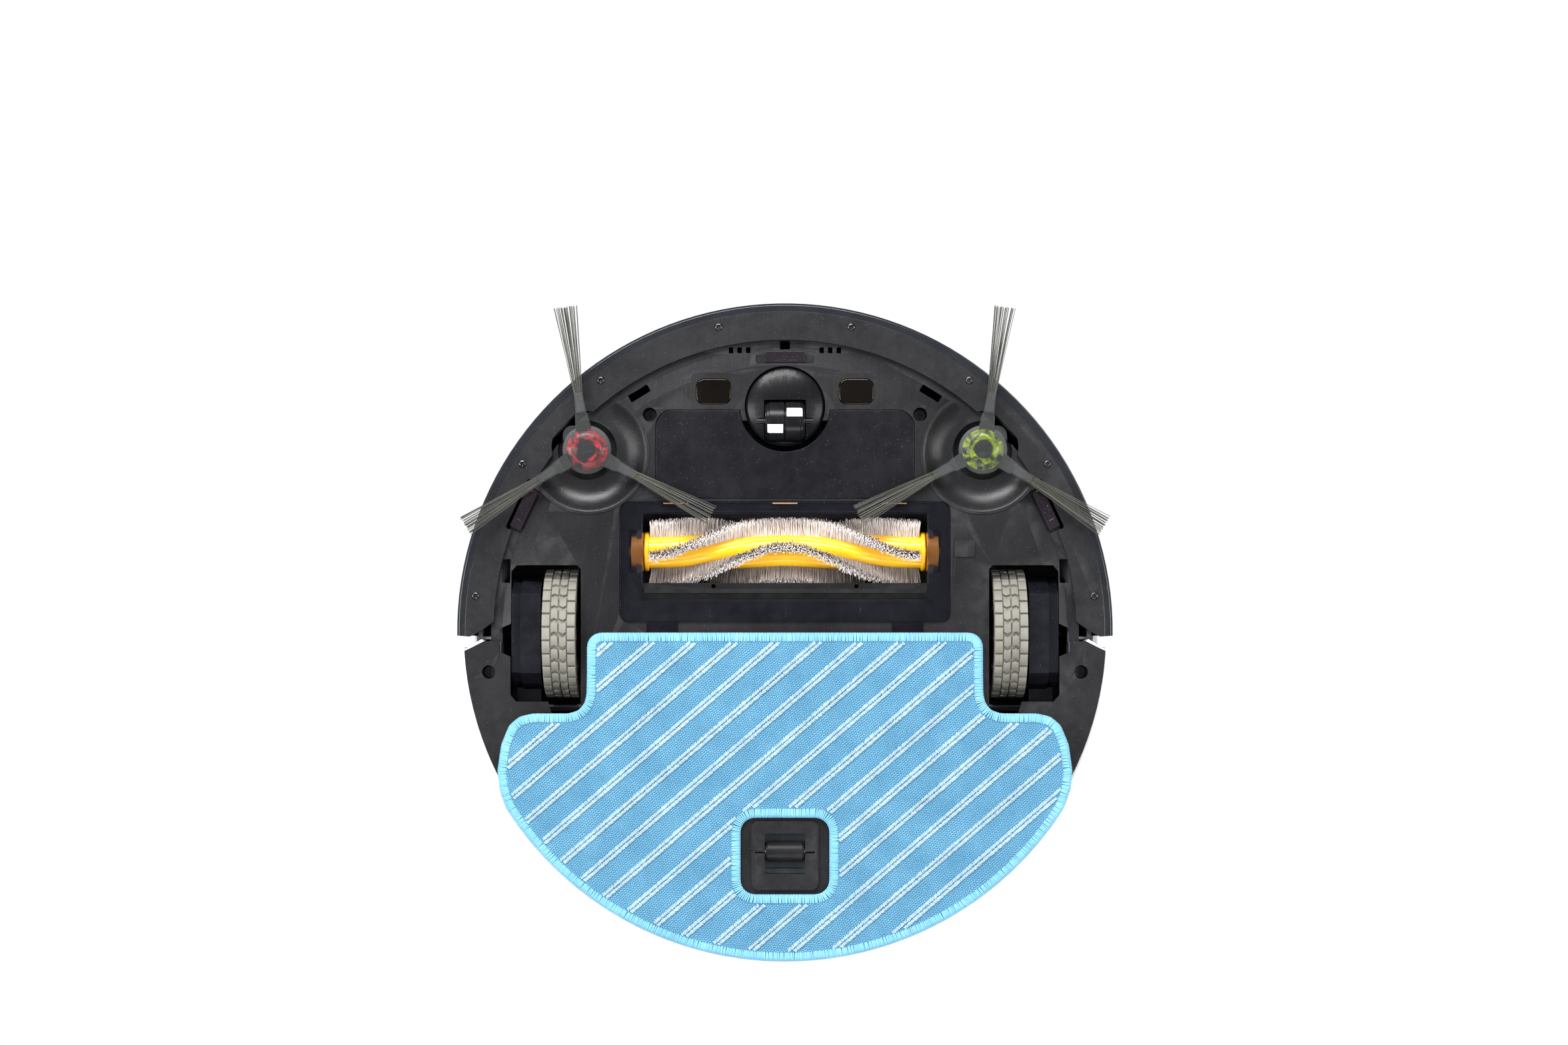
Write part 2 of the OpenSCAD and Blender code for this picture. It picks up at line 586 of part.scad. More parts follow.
tx0 = wheel_x - wheel_w / 2;
tx1 = wheel_x + wheel_w / 2;
rim_r = wheel_d / 2 - 6;
module tyre()
  difference() {
    union() {
      xcyl(tx0 + 1, tx1 - 1, wy, wz, wz);
      xcyl(tx0, tx1, wy, wz, wz - 1);
    }
    xcyl(tx0 - 1, tx1 + 1, wy, wz, rim_r);
    for (x = [tx0 + wheel_w * 0.27, wheel_x, tx0 + wheel_w * 0.73])
      difference() {
        xcyl(x - 0.45, x + 0.45, wy, wz, wz + 1);
        xcyl(x - 1, x + 1, wy, wz, wz - 1.6);
      }
    for (a = [0:12:348]) translate([wheel_x, wy, wz]) rotate([a, 0, 0]) {
      blk(-wheel_w / 2 - 1, -0.6, -wheel_w * 0.23, 0.6, wz - 1.6, wz + 1);
      blk(wheel_w * 0.23, -0.6, wheel_w / 2 + 1, 0.6, wz - 1.6, wz + 1);
    }
    for (a = [6:12:354]) translate([wheel_x, wy, wz]) rotate([a, 0, 0])
      blk(-wheel_w * 0.23, -0.5, wheel_w * 0.23, 0.5, wz - 1.6, wz + 1);
  }
module drive_tyre_right() color([0.33, 0.32, 0.27]) tyre();
module drive_tyre_left() color([0.33, 0.32, 0.27]) mirror([1, 0, 0]) tyre();
module rim()
  difference() {
    union() {
      xcyl(tx0 + 0.6, tx1 - 0.6, wy, wz, rim_r);
      xcyl(tx0 + 1, tx1 + 1, wy, wz, 8);
      xcyl(tx1, tx1 + 12, wy, wz, 3);
    }
    for (a = [0:60:300]) translate([0, wy, wz]) rotate([a, 0, 0]) xcyl(tx0 - 1, tx0 + 4, 0, 18, 5);
    xcyl(tx0 - 1, tx0 + 3, wy, wz, 4);
  }
module drive_rim_right() color([0.06, 0.06, 0.065]) rim();
module drive_rim_left() color([0.06, 0.06, 0.065]) mirror([1, 0, 0]) rim();
module gearbox()
  difference() {
    union() {
      // round case with a flat top and bottom
      intersection() {
        xcyl(tx1 + 1.4, 145.6, wy, wz, 30.4);
        blk(100, -60, 160, 60, 12.4, 62);
      }
      intersection() {
        xcyl(tx1 + 1.4, 140.6, wy, wz, 31.2);
        blk(100, -60, 160, 60, 11.6, 62.8);
      }
      xcyl(145.6, 149, wy, wz, 3.4);
      // arm to the suspension pivot
      blk(131, pivot_y, 144, -20, pivot_z - 4.6, pivot_z + 4.6);
      xcyl(131, 144, pivot_y, pivot_z, 4.6);
    }
    xcyl(tx1, tx1 + 13, wy, wz, 3 + fit);
    xcyl(130, 145, pivot_y, pivot_z, 2.5 + fit);
  }
module drive_gearbox_right() color([0.02, 0.022, 0.03]) gearbox();
module drive_gearbox_left() color([0.02, 0.022, 0.03]) mirror([1, 0, 0]) gearbox();
module suspension_pins() color([0.6, 0.6, 0.62])
  pair() xcyl(hx0, hx1, pivot_y, pivot_z, 2.5);

// ---- caster --------------------------------------------------------------------------------

module caster_dome() color([0.02, 0.02, 0.022])
  difference() {
    union() {
      translate([0, cy, 0]) rotate_extrude($fn = 120)
        polygon([[0, 7.2], [6, 7.4], [11, 8], [16, 9], [19.6, 10.4], [21, 12], [21, z0 + 15.2],
          [0, z0 + 15.2]]);
      cyl(0, cy, 4, z0 + 15, z0 + 22);
    }
    // fork opening
    blk(-caster_w / 2 - 0.6, cy - trail - cz - 1, caster_w / 2 + 0.6, cy - trail + cz + 1, 0, cz + cz + 1);
    // open grooves that hold the axle
    xcyl(-15, 15, cy - trail, cz, 1.6);
    blk(-15, cy - trail - 1.6, 15, cy - trail + 1.6, 0, cz);
  }
module caster_wheel() color([0.025, 0.025, 0.028])
  difference() {
    union() {
      xcyl(-caster_w / 2 + 2.2, caster_w / 2 - 2.2, cy - trail, cz, cz);
      xcyl(-caster_w / 2 + 0.9, caster_w / 2 - 0.9, cy - trail, cz, cz - 0.5);
      xcyl(-caster_w / 2, caster_w / 2, cy - trail, cz, cz - 1.5);
    }
    xcyl(-12, 12, cy - trail, cz, 1.6 + fit);
    difference() {
      xcyl(-0.4, 0.4, cy - trail, cz, cz + 1);
      xcyl(-1, 1, cy - trail, cz, cz - 1);
    }
  }
module caster_axle() color([0.08, 0.08, 0.085]) xcyl(-15, 15, cy - trail, cz, 1.6);

// ---- side brushes --------------------------------------------------------------------------

arms_r = [82, -33, -152];
module arm_solid(r0, r1, w0, w1, za, zb)
  slab([[r0, -w0 / 2], [r1, -w1 / 2], [r1, w1 / 2], [r0, w0 / 2]], za, zb);
module hub()
  translate([side_x, side_y, 0]) difference() {
    union() {
      rotate_extrude($fn = 90)
        polygon([[0, 4.2], [4, 4.4], [8, 5.4], [11, 7.4], [12.6, 10], [13, 13], [11.6, 13], [0, 13]]);
      for (a = arms_r) rotate(a) {
        arm_solid(9, 19, 8.4, 6.4, 6.4, 12);
        arm_solid(19, 30, 5.6, 4.4, 5.6, z0 - 0.7);
      }
    }
    translate([0, 0, 7.6]) cylinder(r = 8.2, h = 6);
    for (a = arms_r) rotate(a) arm_solid(20, 31, 4.2, 3, 6.4, z0 - 1.3);
  }
module side_brush_hub_right() color([0.6, 0.62, 0.64, 0.5]) hub();
module side_brush_hub_left() color([0.6, 0.62, 0.64, 0.5]) mirror([1, 0, 0]) hub();
module side_bristles()
  translate([side_x, side_y, 0]) for (a = arms_r) rotate(a) {
    arm_solid(21, 31, 3.6, 2.8, 6.6, z0 - 1.5);
    // the fan droops to the floor
    for (i = [0:4]) arm_solid(31 + i * fan_step, 31 + (i + 1) * fan_step + 0.02 * i,
      3 + i * 1.3, 4.3 + i * 1.3, 5.6 - i * 1.1, 8 - i * 1.1);
  }
module side_brush_bristles_right() color([0.12, 0.12, 0.11]) side_bristles();
module side_brush_bristles_left() color([0.12, 0.12, 0.11]) mirror([1, 0, 0]) side_bristles();
module coupler_solid()
  translate([side_x, side_y, 0]) { cyl(0, 0, 8, 7.6, 13); cyl(0, 0, 11, 13, 15); cyl(0, 0, 3, 15, z0 + 25); }
module side_brush_coupler_right() color([0.7, 0.05, 0.08]) coupler_solid();
module side_brush_coupler_left() color([0.55, 0.65, 0.05]) mirror([1, 0, 0]) coupler_solid();

// ---- mop module ----------------------------------------------------------------------------

mpt = z0 - 1;
module mop_plate() color([0.03, 0.03, 0.032])
  difference() {
    union() {
      slab([for (p = mop_pts) [p[0] * 0.985, p[1] * 0.988 - 0.5]], cloth_t, cloth_t + 2.6);
      slab([for (p = mop_pts) [p[0] * 0.96, p[1] * 0.97 - 2.4]], cloth_t + 2.6, mpt);
      // pad of the rear roller, standing in the hole of the cloth
      rbox(-17.6, -136.6, 17.6, -100.6, 3.5, 1, cloth_t);
    }
    rbox(-10.7, -128.4, 10.7, -106.8, 1.5, 0, mpt + 1);
    // bearings of the roller pin
    xcyl(-15.8, 15.8, ry, rz, 0.72);
    blk(-15.8, ry - 0.72, 15.8, ry + 0.72, 0, rz);
  }
module mop_cloth() color([0.18, 0.5, 0.78])
  difference() {
    slab(mop_pts, 0, cloth_t);
    rbox(-24, -139.5, 24, -98, 8, -1, cloth_t + 1);
  }
module tank_plan(d) intersection() {
  polygon([[-tank_w / 2 + d, -R], [tank_w / 2 - d, -R], [tank_w / 2 - d, tank_y - d],
    [-tank_w / 2 + d, tank_y - d]]);
  circle(r = R - 1.2 - d, $fn = 180);
}
module water_tank() color([0.35, 0.4, 0.45, 0.7])
  difference() {
    translate([0, 0, mpt]) linear_extrude(43.8 - mpt) tank_plan(0);
    translate([0, 0, mpt + 5]) linear_extrude(43.8 - mpt - 7) tank_plan(2.4);
    // room for the roller
    blk(-11.5, -126, 11.5, -107.4, mpt - 1, mpt + 3.6);
    cyl(58, -120, 8, 40, 45);
    // grip for the fingers in the rear wall
    rbox(-30, -R - 1, 30, -R + 8, 3, mpt - 0.1, mpt + 4);
  }
module tank_plug() color([0.05, 0.05, 0.055]) { cyl(58, -120, 8, 41.8, 43.4); cyl(58, -120, 10, 40.2, 41.8); }
module rear_roller() color([0.03, 0.03, 0.033])
  difference() {
    union() {
      xcyl(-9.4, 9.4, ry, rz, rz);
      xcyl(-10.3, 10.3, ry, rz, rz - 0.8);
    }
    xcyl(-12, 12, ry, rz, 0.7 + fit);
  }
module rear_roller_pin() color([0.6, 0.6, 0.6]) xcyl(-15.6, 15.6, ry, rz, 0.7);

// ---- every node ----------------------------------------------------------------------------

base_plate();
mid_frame();
wheel_housing_right();
wheel_housing_left();
bin_bay();
top_cover();
base_screws();
battery_cover();
battery_pack();
main_board();
contact_bezels();
charging_contact_right();
charging_contact_left();
cliff_window_front();
cliff_window_right();
cliff_window_left();
side_brush_motors();
brush_chamber();
scraper_strip();
brush_motor();
fan_housing();
fan_impeller();
lidar_base();
lidar_rotor();
lidar_cover();
power_button();
status_ring();
dust_bin();
bin_lid();
bin_handle();
bin_filter();
bumper_skin();
bumper_band();
bumper_screws();
brush_cover();
main_brush_core();
main_brush_bristles();
main_brush_bearings();
drive_tyre_right();
drive_tyre_left();
drive_rim_right();
drive_rim_left();
drive_gearbox_right();
drive_gearbox_left();
suspension_pins();
caster_dome();
caster_wheel();
caster_axle();
side_brush_hub_right();
side_brush_hub_left();
side_brush_bristles_right();
side_brush_bristles_left();
side_brush_coupler_right();
side_brush_coupler_left();
mop_plate();
mop_cloth();
water_tank();
tank_plug();
rear_roller();
rear_roller_pin();
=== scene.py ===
"""Robot vacuum with a mop cloth, seen from below.

Finishes, cloth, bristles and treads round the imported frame.
"""

import json
import math
import random

import bmesh
import bpy
import numpy as np
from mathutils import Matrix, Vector, noise
from mathutils.bvhtree import BVHTree
from mathutils.geometry import delaunay_2d_cdt


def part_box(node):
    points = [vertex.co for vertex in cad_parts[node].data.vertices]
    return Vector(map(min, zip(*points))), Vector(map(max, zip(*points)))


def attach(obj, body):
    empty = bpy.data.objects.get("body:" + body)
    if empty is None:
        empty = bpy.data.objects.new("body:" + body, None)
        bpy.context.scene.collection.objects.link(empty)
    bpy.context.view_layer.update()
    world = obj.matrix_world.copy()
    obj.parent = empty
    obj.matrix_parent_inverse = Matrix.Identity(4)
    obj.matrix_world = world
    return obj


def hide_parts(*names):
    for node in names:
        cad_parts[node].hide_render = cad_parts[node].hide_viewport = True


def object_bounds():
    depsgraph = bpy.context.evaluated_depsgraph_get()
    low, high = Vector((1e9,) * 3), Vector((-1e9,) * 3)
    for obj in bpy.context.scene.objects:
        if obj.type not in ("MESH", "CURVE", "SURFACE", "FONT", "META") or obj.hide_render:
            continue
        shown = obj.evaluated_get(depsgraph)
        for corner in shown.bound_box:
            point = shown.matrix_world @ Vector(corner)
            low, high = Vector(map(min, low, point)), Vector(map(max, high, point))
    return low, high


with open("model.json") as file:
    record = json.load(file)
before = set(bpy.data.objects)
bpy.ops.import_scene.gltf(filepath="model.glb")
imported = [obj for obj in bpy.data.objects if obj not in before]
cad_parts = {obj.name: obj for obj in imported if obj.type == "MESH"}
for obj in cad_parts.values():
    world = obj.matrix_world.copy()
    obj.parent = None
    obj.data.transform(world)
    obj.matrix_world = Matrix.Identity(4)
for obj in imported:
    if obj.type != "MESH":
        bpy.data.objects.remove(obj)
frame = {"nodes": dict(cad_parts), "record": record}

bl_info = {
    "name": "Robot vacuum finish",
    "version": (1, 0, 0),
    "blender": (4, 5, 0),
    "location": "3D View > Sidebar > Robot vacuum",
    "description": "Cloth, bristles, treads, screws and finishes of a robot vacuum with a mop module",
    "category": "Add Mesh",
}

CAD_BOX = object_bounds()
NODES = frame["nodes"]
BODY = {n: b for b, names in frame["record"]["behaviour"]["bodies"].items() for n in names}
MM = 0.001
FLOAT, WHOLE, COLOUR = "NodeSocketFloat", "NodeSocketInt", "NodeSocketColor"
SOLID, MATERIAL, OBJECT = "NodeSocketGeometry", "NodeSocketMaterial", "NodeSocketObject"


# ---- sizes and colours that a user would change ----------------------------------------------


def colour_prop(name, description, default):
    return bpy.props.FloatVectorProperty(
        name=name, description=description, subtype="COLOR", size=3, min=0, max=1, default=default
    )


def number_prop(name, description, default, **options):
    return bpy.props.FloatProperty(name=name, description=description, default=default, **options)


def length_prop(name, description, millimetres):
    return number_prop(name, description, millimetres * MM, min=0, unit="LENGTH", precision=5)


def angle_prop(name, description, degrees):
    return number_prop(name, description, math.radians(degrees), subtype="ANGLE")


class VacuumFinishes(bpy.types.PropertyGroup):
    base: colour_prop("Base plastic", "Grained plastic of the base plate", (0.007, 0.007, 0.008))
    gloss: colour_prop("Bumper gloss", "Glossy skin of the bumper", (0.0075, 0.0085, 0.0115))
    shell: colour_prop("Shell", "White shell and top cover", (0.78, 0.79, 0.8))
    smoke: colour_prop("Smoked cover", "See-through cover of the main brush", (0.004, 0.004, 0.009))
    tyre: colour_prop("Tyre rubber", "Rubber of the drive tyres", (0.15, 0.142, 0.12))
    core: colour_prop("Brush core", "Moulded core of the main brush", (0.92, 0.44, 0.006))
    grain: number_prop("Grain", "Grains in a metre of the base plastic", 1500, min=100)


class ClothSizes(bpy.types.PropertyGroup):
    colour: colour_prop("Cloth", "Knitted microfibre", (0.16, 0.43, 0.62))
    shade: colour_prop("Cloth gaps", "Shade between the knitted loops", (0.02, 0.14, 0.3))
    rib: colour_prop("Ribs", "Terry loops of the scrubbing ribs", (0.28, 0.41, 0.5))
    spacing: length_prop("Rib spacing", "Distance between ribs, measured across the robot", 22)
    angle: angle_prop("Rib angle", "Angle of the ribs to the front edge", 40.6)
    pitch: length_prop("Loop pitch", "Distance between the loops along a rib", 1.0)
    stitch: length_prop("Stitch pitch", "Distance between the threads of the bound edge", 0.82)
    border: length_prop("Bound edge", "Width of the bound edge", 4.3)


class BristleSizes(bpy.types.PropertyGroup):
    pale: colour_prop("Pale tufts", "Main brush, soft tufts", (0.95, 0.89, 0.86))
    brown: colour_prop("Brown tufts", "Main brush, stiff tufts", (0.36, 0.3, 0.27))
    sweep: colour_prop("Side bristles", "Nylon strands of the side brushes", (0.1, 0.1, 0.08))
    twist: angle_prop("Row twist", "How far a row turns from the brush's end to its middle", 89)
    step: length_prop("Tuft step", "Distance between the fibres along a row", 0.5)
    strands: bpy.props.IntProperty(
        name="Strands", description="Strands on each arm of a side brush", default=34, min=1
    )


class StageSettings(bpy.types.PropertyGroup):
    lens: number_prop("Lens", "Focal length of the camera, in millimetres", 56, min=10)
    distance: number_prop("Distance", "From the base plate down to the camera", 1.2965, unit="LENGTH")
    key: number_prop("Key light", "Power of the main softbox", 42)
    side: number_prop("Side lights", "Power of the side softboxes", 20)
    sky: number_prop("Surround", "Brightness of the surround that lights the robot", 0.3)


def settings(name):
    return getattr(bpy.context.scene, name)


# ---- node trees ------------------------------------------------------------------------------


def put(tree, kind, inputs=None, **options):
    """Adds a node. Its inputs, by name or number, get a value or another node's output."""
    node = tree.nodes.new(kind)
    for name, value in options.items():
        setattr(node, name, value)
    for name, value in (inputs or {}).items():
        if isinstance(value, bpy.types.NodeSocket):
            tree.links.new(value, node.inputs[name])
        else:
            node.inputs[name].default_value = value
    return node


def maths(tree, operation, *values):
    return put(tree, "ShaderNodeMath", dict(enumerate(values)), operation=operation).outputs[0]


def mixed(tree, factor, first, second):
    return put(tree, "ShaderNodeMix", {0: factor, 6: first, 7: second}, data_type="RGBA").outputs[2]


def spread(tree, value, low, high, start=0.0, end=1.0):
    inputs = {"Value": value, "From Min": low, "From Max": high, "To Min": start, "To Max": end}
    return put(tree, "ShaderNodeMapRange", inputs).outputs["Result"]


def group(name, ins, outs, kind="ShaderNodeTree"):
    """A node group with named sockets: the tree, its inputs and its outputs."""
    tree = bpy.data.node_groups.new(name, kind)
    for label, socket, default in ins:
        item = tree.interface.new_socket(name=label, in_out="INPUT", socket_type=socket)
        if default is not None:
            item.default_value = default
    for label, socket in outs:
        tree.interface.new_socket(name=label, in_out="OUTPUT", socket_type=socket)
    return tree, tree.nodes.new("NodeGroupInput").outputs, tree.nodes.new("NodeGroupOutput").inputs


def rgba(colour):
    return (*colour[:3], 1.0)


def spaced(values):
    """Keyword names as socket names."""
    return {name.replace("_", " "): value for name, value in values.items()}


def object_place(tree):
    return put(tree, "ShaderNodeTexCoord").outputs["Object"]


def speckle(tree, scale, detail=2.0):
    """Noise over the piece."""
    inputs = {"Vector": object_place(tree), "Scale": scale, "Detail": detail}
    return put(tree, "ShaderNodeTexNoise", inputs).outputs["Fac"]


def moulded_grain():
    """Spark texture of a mould: fine bumps on coarser ones, and a mask of their peaks for painted glints.
    """
    tree, ins, outs = group(
        "Moulded grain", [("Grains", FLOAT, 1500.0), ("Coarse share", FLOAT, 0.35)],
        [("Height", FLOAT), ("Fleck", FLOAT)],
    )
    fine = speckle(tree, ins[0], 1.0)
    wide = speckle(tree, maths(tree, "MULTIPLY", ins[0], 0.3), 1.0)
    both = put(tree, "ShaderNodeMix", {0: ins[1], 2: fine, 3: wide}).outputs[0]
    tree.links.new(both, outs[0])
    tree.links.new(spread(tree, both, 0.56, 0.68), outs[1])
    return tree


def handling_marks():
    """Patches where hands have rubbed a finish, between two roughnesses."""
    tree, ins, outs = group(
        "Handling marks", [("Low", FLOAT, 0.3), ("High", FLOAT, 0.5), ("Patches", FLOAT, 28.0)],
        [("Roughness", FLOAT)],
    )
    wide = speckle(tree, ins[2], 3.0)
    streak = put(tree, "ShaderNodeMapping", {"Vector": object_place(tree), "Scale": (900.0, 35.0, 90.0)})
    fine = put(tree, "ShaderNodeTexNoise", {"Vector": streak.outputs[0], "Scale": 1.0, "Detail": 1.0})
    both = maths(tree, "MULTIPLY_ADD", fine.outputs["Fac"], 0.25, maths(tree, "MULTIPLY", wide, 0.75))
    tree.links.new(spread(tree, both, 0.32, 0.62, ins[0], ins[1]), outs[0])
    return tree


def fine_dust():
    """Loose specks of dust."""
    tree, ins, outs = group(
        "Fine dust", [("Amount", FLOAT, 0.2), ("Specks", FLOAT, 1500.0)], [("Mask", FLOAT)]
    )
    cells = put(tree, "ShaderNodeTexVoronoi", {"Vector": object_place(tree), "Scale": ins[1]})
    near = maths(tree, "LESS_THAN", cells.outputs["Distance"], 0.24)
    chosen = put(tree, "ShaderNodeSeparateColor", {0: cells.outputs["Color"]})
    few = maths(tree, "LESS_THAN", chosen.outputs[0], ins[0])
    tone = maths(tree, "MULTIPLY", chosen.outputs[1], 0.35)
    tree.links.new(maths(tree, "MULTIPLY", maths(tree, "MULTIPLY", near, few), tone), outs[0])
    return tree


def edge_wear():
    """Where edges have been rubbed brighter."""
    tree, ins, outs = group("Edge wear", [("Amount", FLOAT, 0.5)], [("Mask", FLOAT)])
    edge = spread(tree, put(tree, "ShaderNodeNewGeometry").outputs["Pointiness"], 0.52, 0.6)
    worn = spread(tree, speckle(tree, 160.0), 0.35, 0.65, 0.25, 1.0)
    tree.links.new(maths(tree, "MULTIPLY", maths(tree, "MULTIPLY", edge, worn), ins[0]), outs[0])
    return tree


def knit_weave():
    """Columns of small knitted V shapes, turned to run with the ribs, and a mask of the low gaps between
    them for painted shade.
    """
    tree, ins, outs = group(
        "Knit weave", [("Course", FLOAT, 0.00115), ("Column", FLOAT, 0.0016), ("Angle", FLOAT, 0.7)],
        [("Height", FLOAT), ("Gap", FLOAT)],
    )
    place = object_place(tree)
    turned = put(tree, "ShaderNodeVectorRotate", {"Vector": place, "Angle": ins[2]}, rotation_type="Z_AXIS")
    wobble = put(tree, "ShaderNodeTexNoise", {"Vector": place, "Scale": 240.0, "Detail": 1.0})
    inputs = {0: wobble.outputs["Color"], 1: (0.0006, 0.0006, 0.0), 2: turned.outputs[0]}
    shaken = put(tree, "ShaderNodeVectorMath", inputs, operation="MULTIPLY_ADD")
    axis = put(tree, "ShaderNodeSeparateXYZ", {0: shaken.outputs[0]})
    column = maths(tree, "DIVIDE", axis.outputs[1], ins[1])
    side = maths(tree, "ABSOLUTE", maths(tree, "SUBTRACT", maths(tree, "FRACT", column), 0.5))
    course = maths(tree, "DIVIDE", axis.outputs[0], ins[0])
    course = maths(tree, "ADD", course, maths(tree, "MULTIPLY", side, 1.1))
    turn = maths(tree, "MULTIPLY", course, 2 * math.pi)
    wave = maths(tree, "MULTIPLY_ADD", maths(tree, "SINE", turn), 0.5, 0.5)
    ridge = maths(tree, "MULTIPLY", spread(tree, side, 0.02, 0.22), spread(tree, side, 0.5, 0.36))
    height = maths(tree, "MULTIPLY", wave, maths(tree, "MULTIPLY_ADD", ridge, 0.6, 0.4))
    tree.links.new(height, outs[0])
    tree.links.new(spread(tree, height, 0.5, 0.12), outs[1])
    return tree


def fibre_tone():
    """Each fibre's own shade, a little darker in patches."""
    tree, ins, outs = group(
        "Fibre tone", [("Colour", COLOUR, None), ("Dark", COLOUR, None), ("Tone", FLOAT, 0.5)],
        [("Colour", COLOUR)],
    )
    own = maths(tree, "MULTIPLY", ins[2], 0.7)
    share = maths(tree, "MULTIPLY_ADD", speckle(tree, 110.0), 0.6, own)
    tree.links.new(mixed(tree, spread(tree, share, 0.2, 1.1), ins[0], ins[1]), outs[0])
    return tree


SHADED = {
    "grain": moulded_grain, "marks": handling_marks, "dust": fine_dust, "wear": edge_wear,
    "knit": knit_weave, "fibre": fibre_tone,
}
_groups = {}


def effect(tree, name, inputs):
    """Places a shared shader group in a material, and builds it the first time."""
    if name not in _groups:
        _groups[name] = SHADED[name]()
    return put(tree, "ShaderNodeGroup", inputs, node_tree=_groups[name]).outputs


def blank(name, surface):
    """A material with only its Principled BSDF, and the values that are the same all over."""
    material = bpy.data.materials.new(name)
    material.use_nodes = True
    shader = material.node_tree.nodes["Principled BSDF"]
    for socket, value in surface.items():
        shader.inputs[socket].default_value = value
    return material, material.node_tree, shader


def bump(tree, shader, height, strength, distance):
    node = put(tree, "ShaderNodeBump", {"Height": height, "Strength": strength, "Distance": distance})
    tree.links.new(node.outputs[0], shader.inputs["Normal"])


def rub(tree, shader, inputs):
    """Handling marks on a material's roughness."""
    tree.links.new(effect(tree, "marks", inputs)["Roughness"], shader.inputs["Roughness"])


def own_tone(tree):
    """The tone that each copy carries."""
    return put(tree, "ShaderNodeAttribute", attribute_name="tone").outputs["Fac"]


def brighter(colour, times, plus):
    return rgba([min(1.0, c * times + plus) for c in colour[:3]])


def moulded(name, colour, low, high, grains, depth, fleck=0.0, dust=0.0, wear=0.0, **surface):
    """A moulded, rubbed or painted finish with grain, handling marks, dust and worn edges, and painted
    glints on the grain's peaks.
    """
    material, tree, shader = blank(name, spaced(surface))
    grain = effect(tree, "grain", {"Grains": grains})
    bump(tree, shader, grain["Height"], depth, 0.4 * MM)
    rub(tree, shader, {"Low": low, "High": high})
    lighter = [c * (1.35 - 0.32 * c) + 0.002 for c in colour[:3]]
    tint = mixed(tree, spread(tree, speckle(tree, 45.0, 3.0), 0.35, 0.7), rgba(colour), rgba(lighter))
    # Painted glints: the grain's peaks made lighter, as the sparkle of a spark texture.
    if fleck:
        painted_glints = maths(tree, "MULTIPLY", grain["Fleck"], fleck)
        tint = mixed(tree, painted_glints, tint, brighter(colour, 2.2, 0.012))
    if wear:
        tint = mixed(tree, effect(tree, "wear", {"Amount": wear})["Mask"], tint, brighter(colour, 3, 0.03))
    if dust:
        tint = mixed(tree, effect(tree, "dust", {"Amount": dust})["Mask"], tint, DUST)
    tree.links.new(tint, shader.inputs["Base Color"])
    return material


def clear(name, colour, facing, grazing, low=0.12, high=0.25, **surface):
    """A see-through moulding, denser where it is seen edge on."""
    material = moulded(name, colour, low, high, 900.0, 0.04, **surface)
    tree = material.node_tree
    rim = put(tree, "ShaderNodeLayerWeight", {"Blend": 0.45}).outputs["Facing"]
    alpha = tree.nodes["Principled BSDF"].inputs["Alpha"]
    tree.links.new(spread(tree, rim, 0.05, 0.75, facing, grazing), alpha)
    return material


def cloth_material(name, light, dark, knit=True):
    """Knitted cloth with painted shade in the gaps of its knit, or the thread of its ribs and edge, darker
    at random from copy to copy.
    """
    material, tree, shader = blank(
        name, {"Roughness": 0.9, "Sheen Weight": 0.15, "Sheen Roughness": 0.5, "Specular IOR Level": 0.15}
    )
    fuzz = speckle(tree, 2600.0)
    patch = spread(tree, speckle(tree, 60.0, 3.0), 0.3, 0.75)
    tint = mixed(tree, patch, rgba(light), brighter(light, 1.25, 0.04))
    if knit:
        weave = effect(tree, "knit", {"Angle": math.pi / 2 + settings("cloth_sizes").angle})
        # Painted shade in the knit's gaps, where the weave lies low.
        tint = mixed(tree, maths(tree, "MULTIPLY", weave["Gap"], 0.9), tint, rgba(dark))
        bump(tree, shader, maths(tree, "MULTIPLY_ADD", fuzz, 0.3, weave["Height"]), 1.0, 0.8 * MM)
    else:
        tint = mixed(tree, spread(tree, own_tone(tree), 0.0, 1.0, 0.0, 0.55), tint, rgba(dark))
        bump(tree, shader, fuzz, 0.5, 0.3 * MM)
    tree.links.new(tint, shader.inputs["Base Color"])
    return material


def fibre_material(name, colour, darker, **surface):
    """Bristles between a colour and a darker share of it, each with its own tone."""
    material, tree, shader = blank(name, spaced(surface))
    shades = {"Colour": rgba(colour), "Dark": rgba([v * darker for v in colour]), "Tone": own_tone(tree)}
    tree.links.new(effect(tree, "fibre", shades)["Colour"], shader.inputs["Base Color"])
    rub(tree, shader, {"Low": 0.45, "High": 0.65, "Patches": 90.0})
    return material


def coupler_material(name, bright):
    """A bright ring with dark blotches round the dark socket in its middle."""
    material = moulded(name, bright, 0.3, 0.45, 900.0, 0.1)
    tree = material.node_tree
    lo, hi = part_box("side_brush_coupler_right")
    axis = put(tree, "ShaderNodeSeparateXYZ", {0: object_place(tree)})
    across = maths(tree, "SUBTRACT", maths(tree, "ABSOLUTE", axis.outputs[0]), (lo.x + hi.x) / 2)
    along = maths(tree, "SUBTRACT", axis.outputs[1], (lo.y + hi.y) / 2)
    squares = [maths(tree, "MULTIPLY", side, side) for side in (across, along)]
    ring = spread(tree, maths(tree, "SQRT", maths(tree, "ADD", *squares)), 4.8 * MM, 5.4 * MM)
    ring = maths(tree, "MULTIPLY", ring, spread(tree, speckle(tree, 210.0), 0.4, 0.52))
    tint = mixed(tree, ring, SOCKET_DARK, rgba(bright))
    tree.links.new(tint, tree.nodes["Principled BSDF"].inputs["Base Color"])
    return material


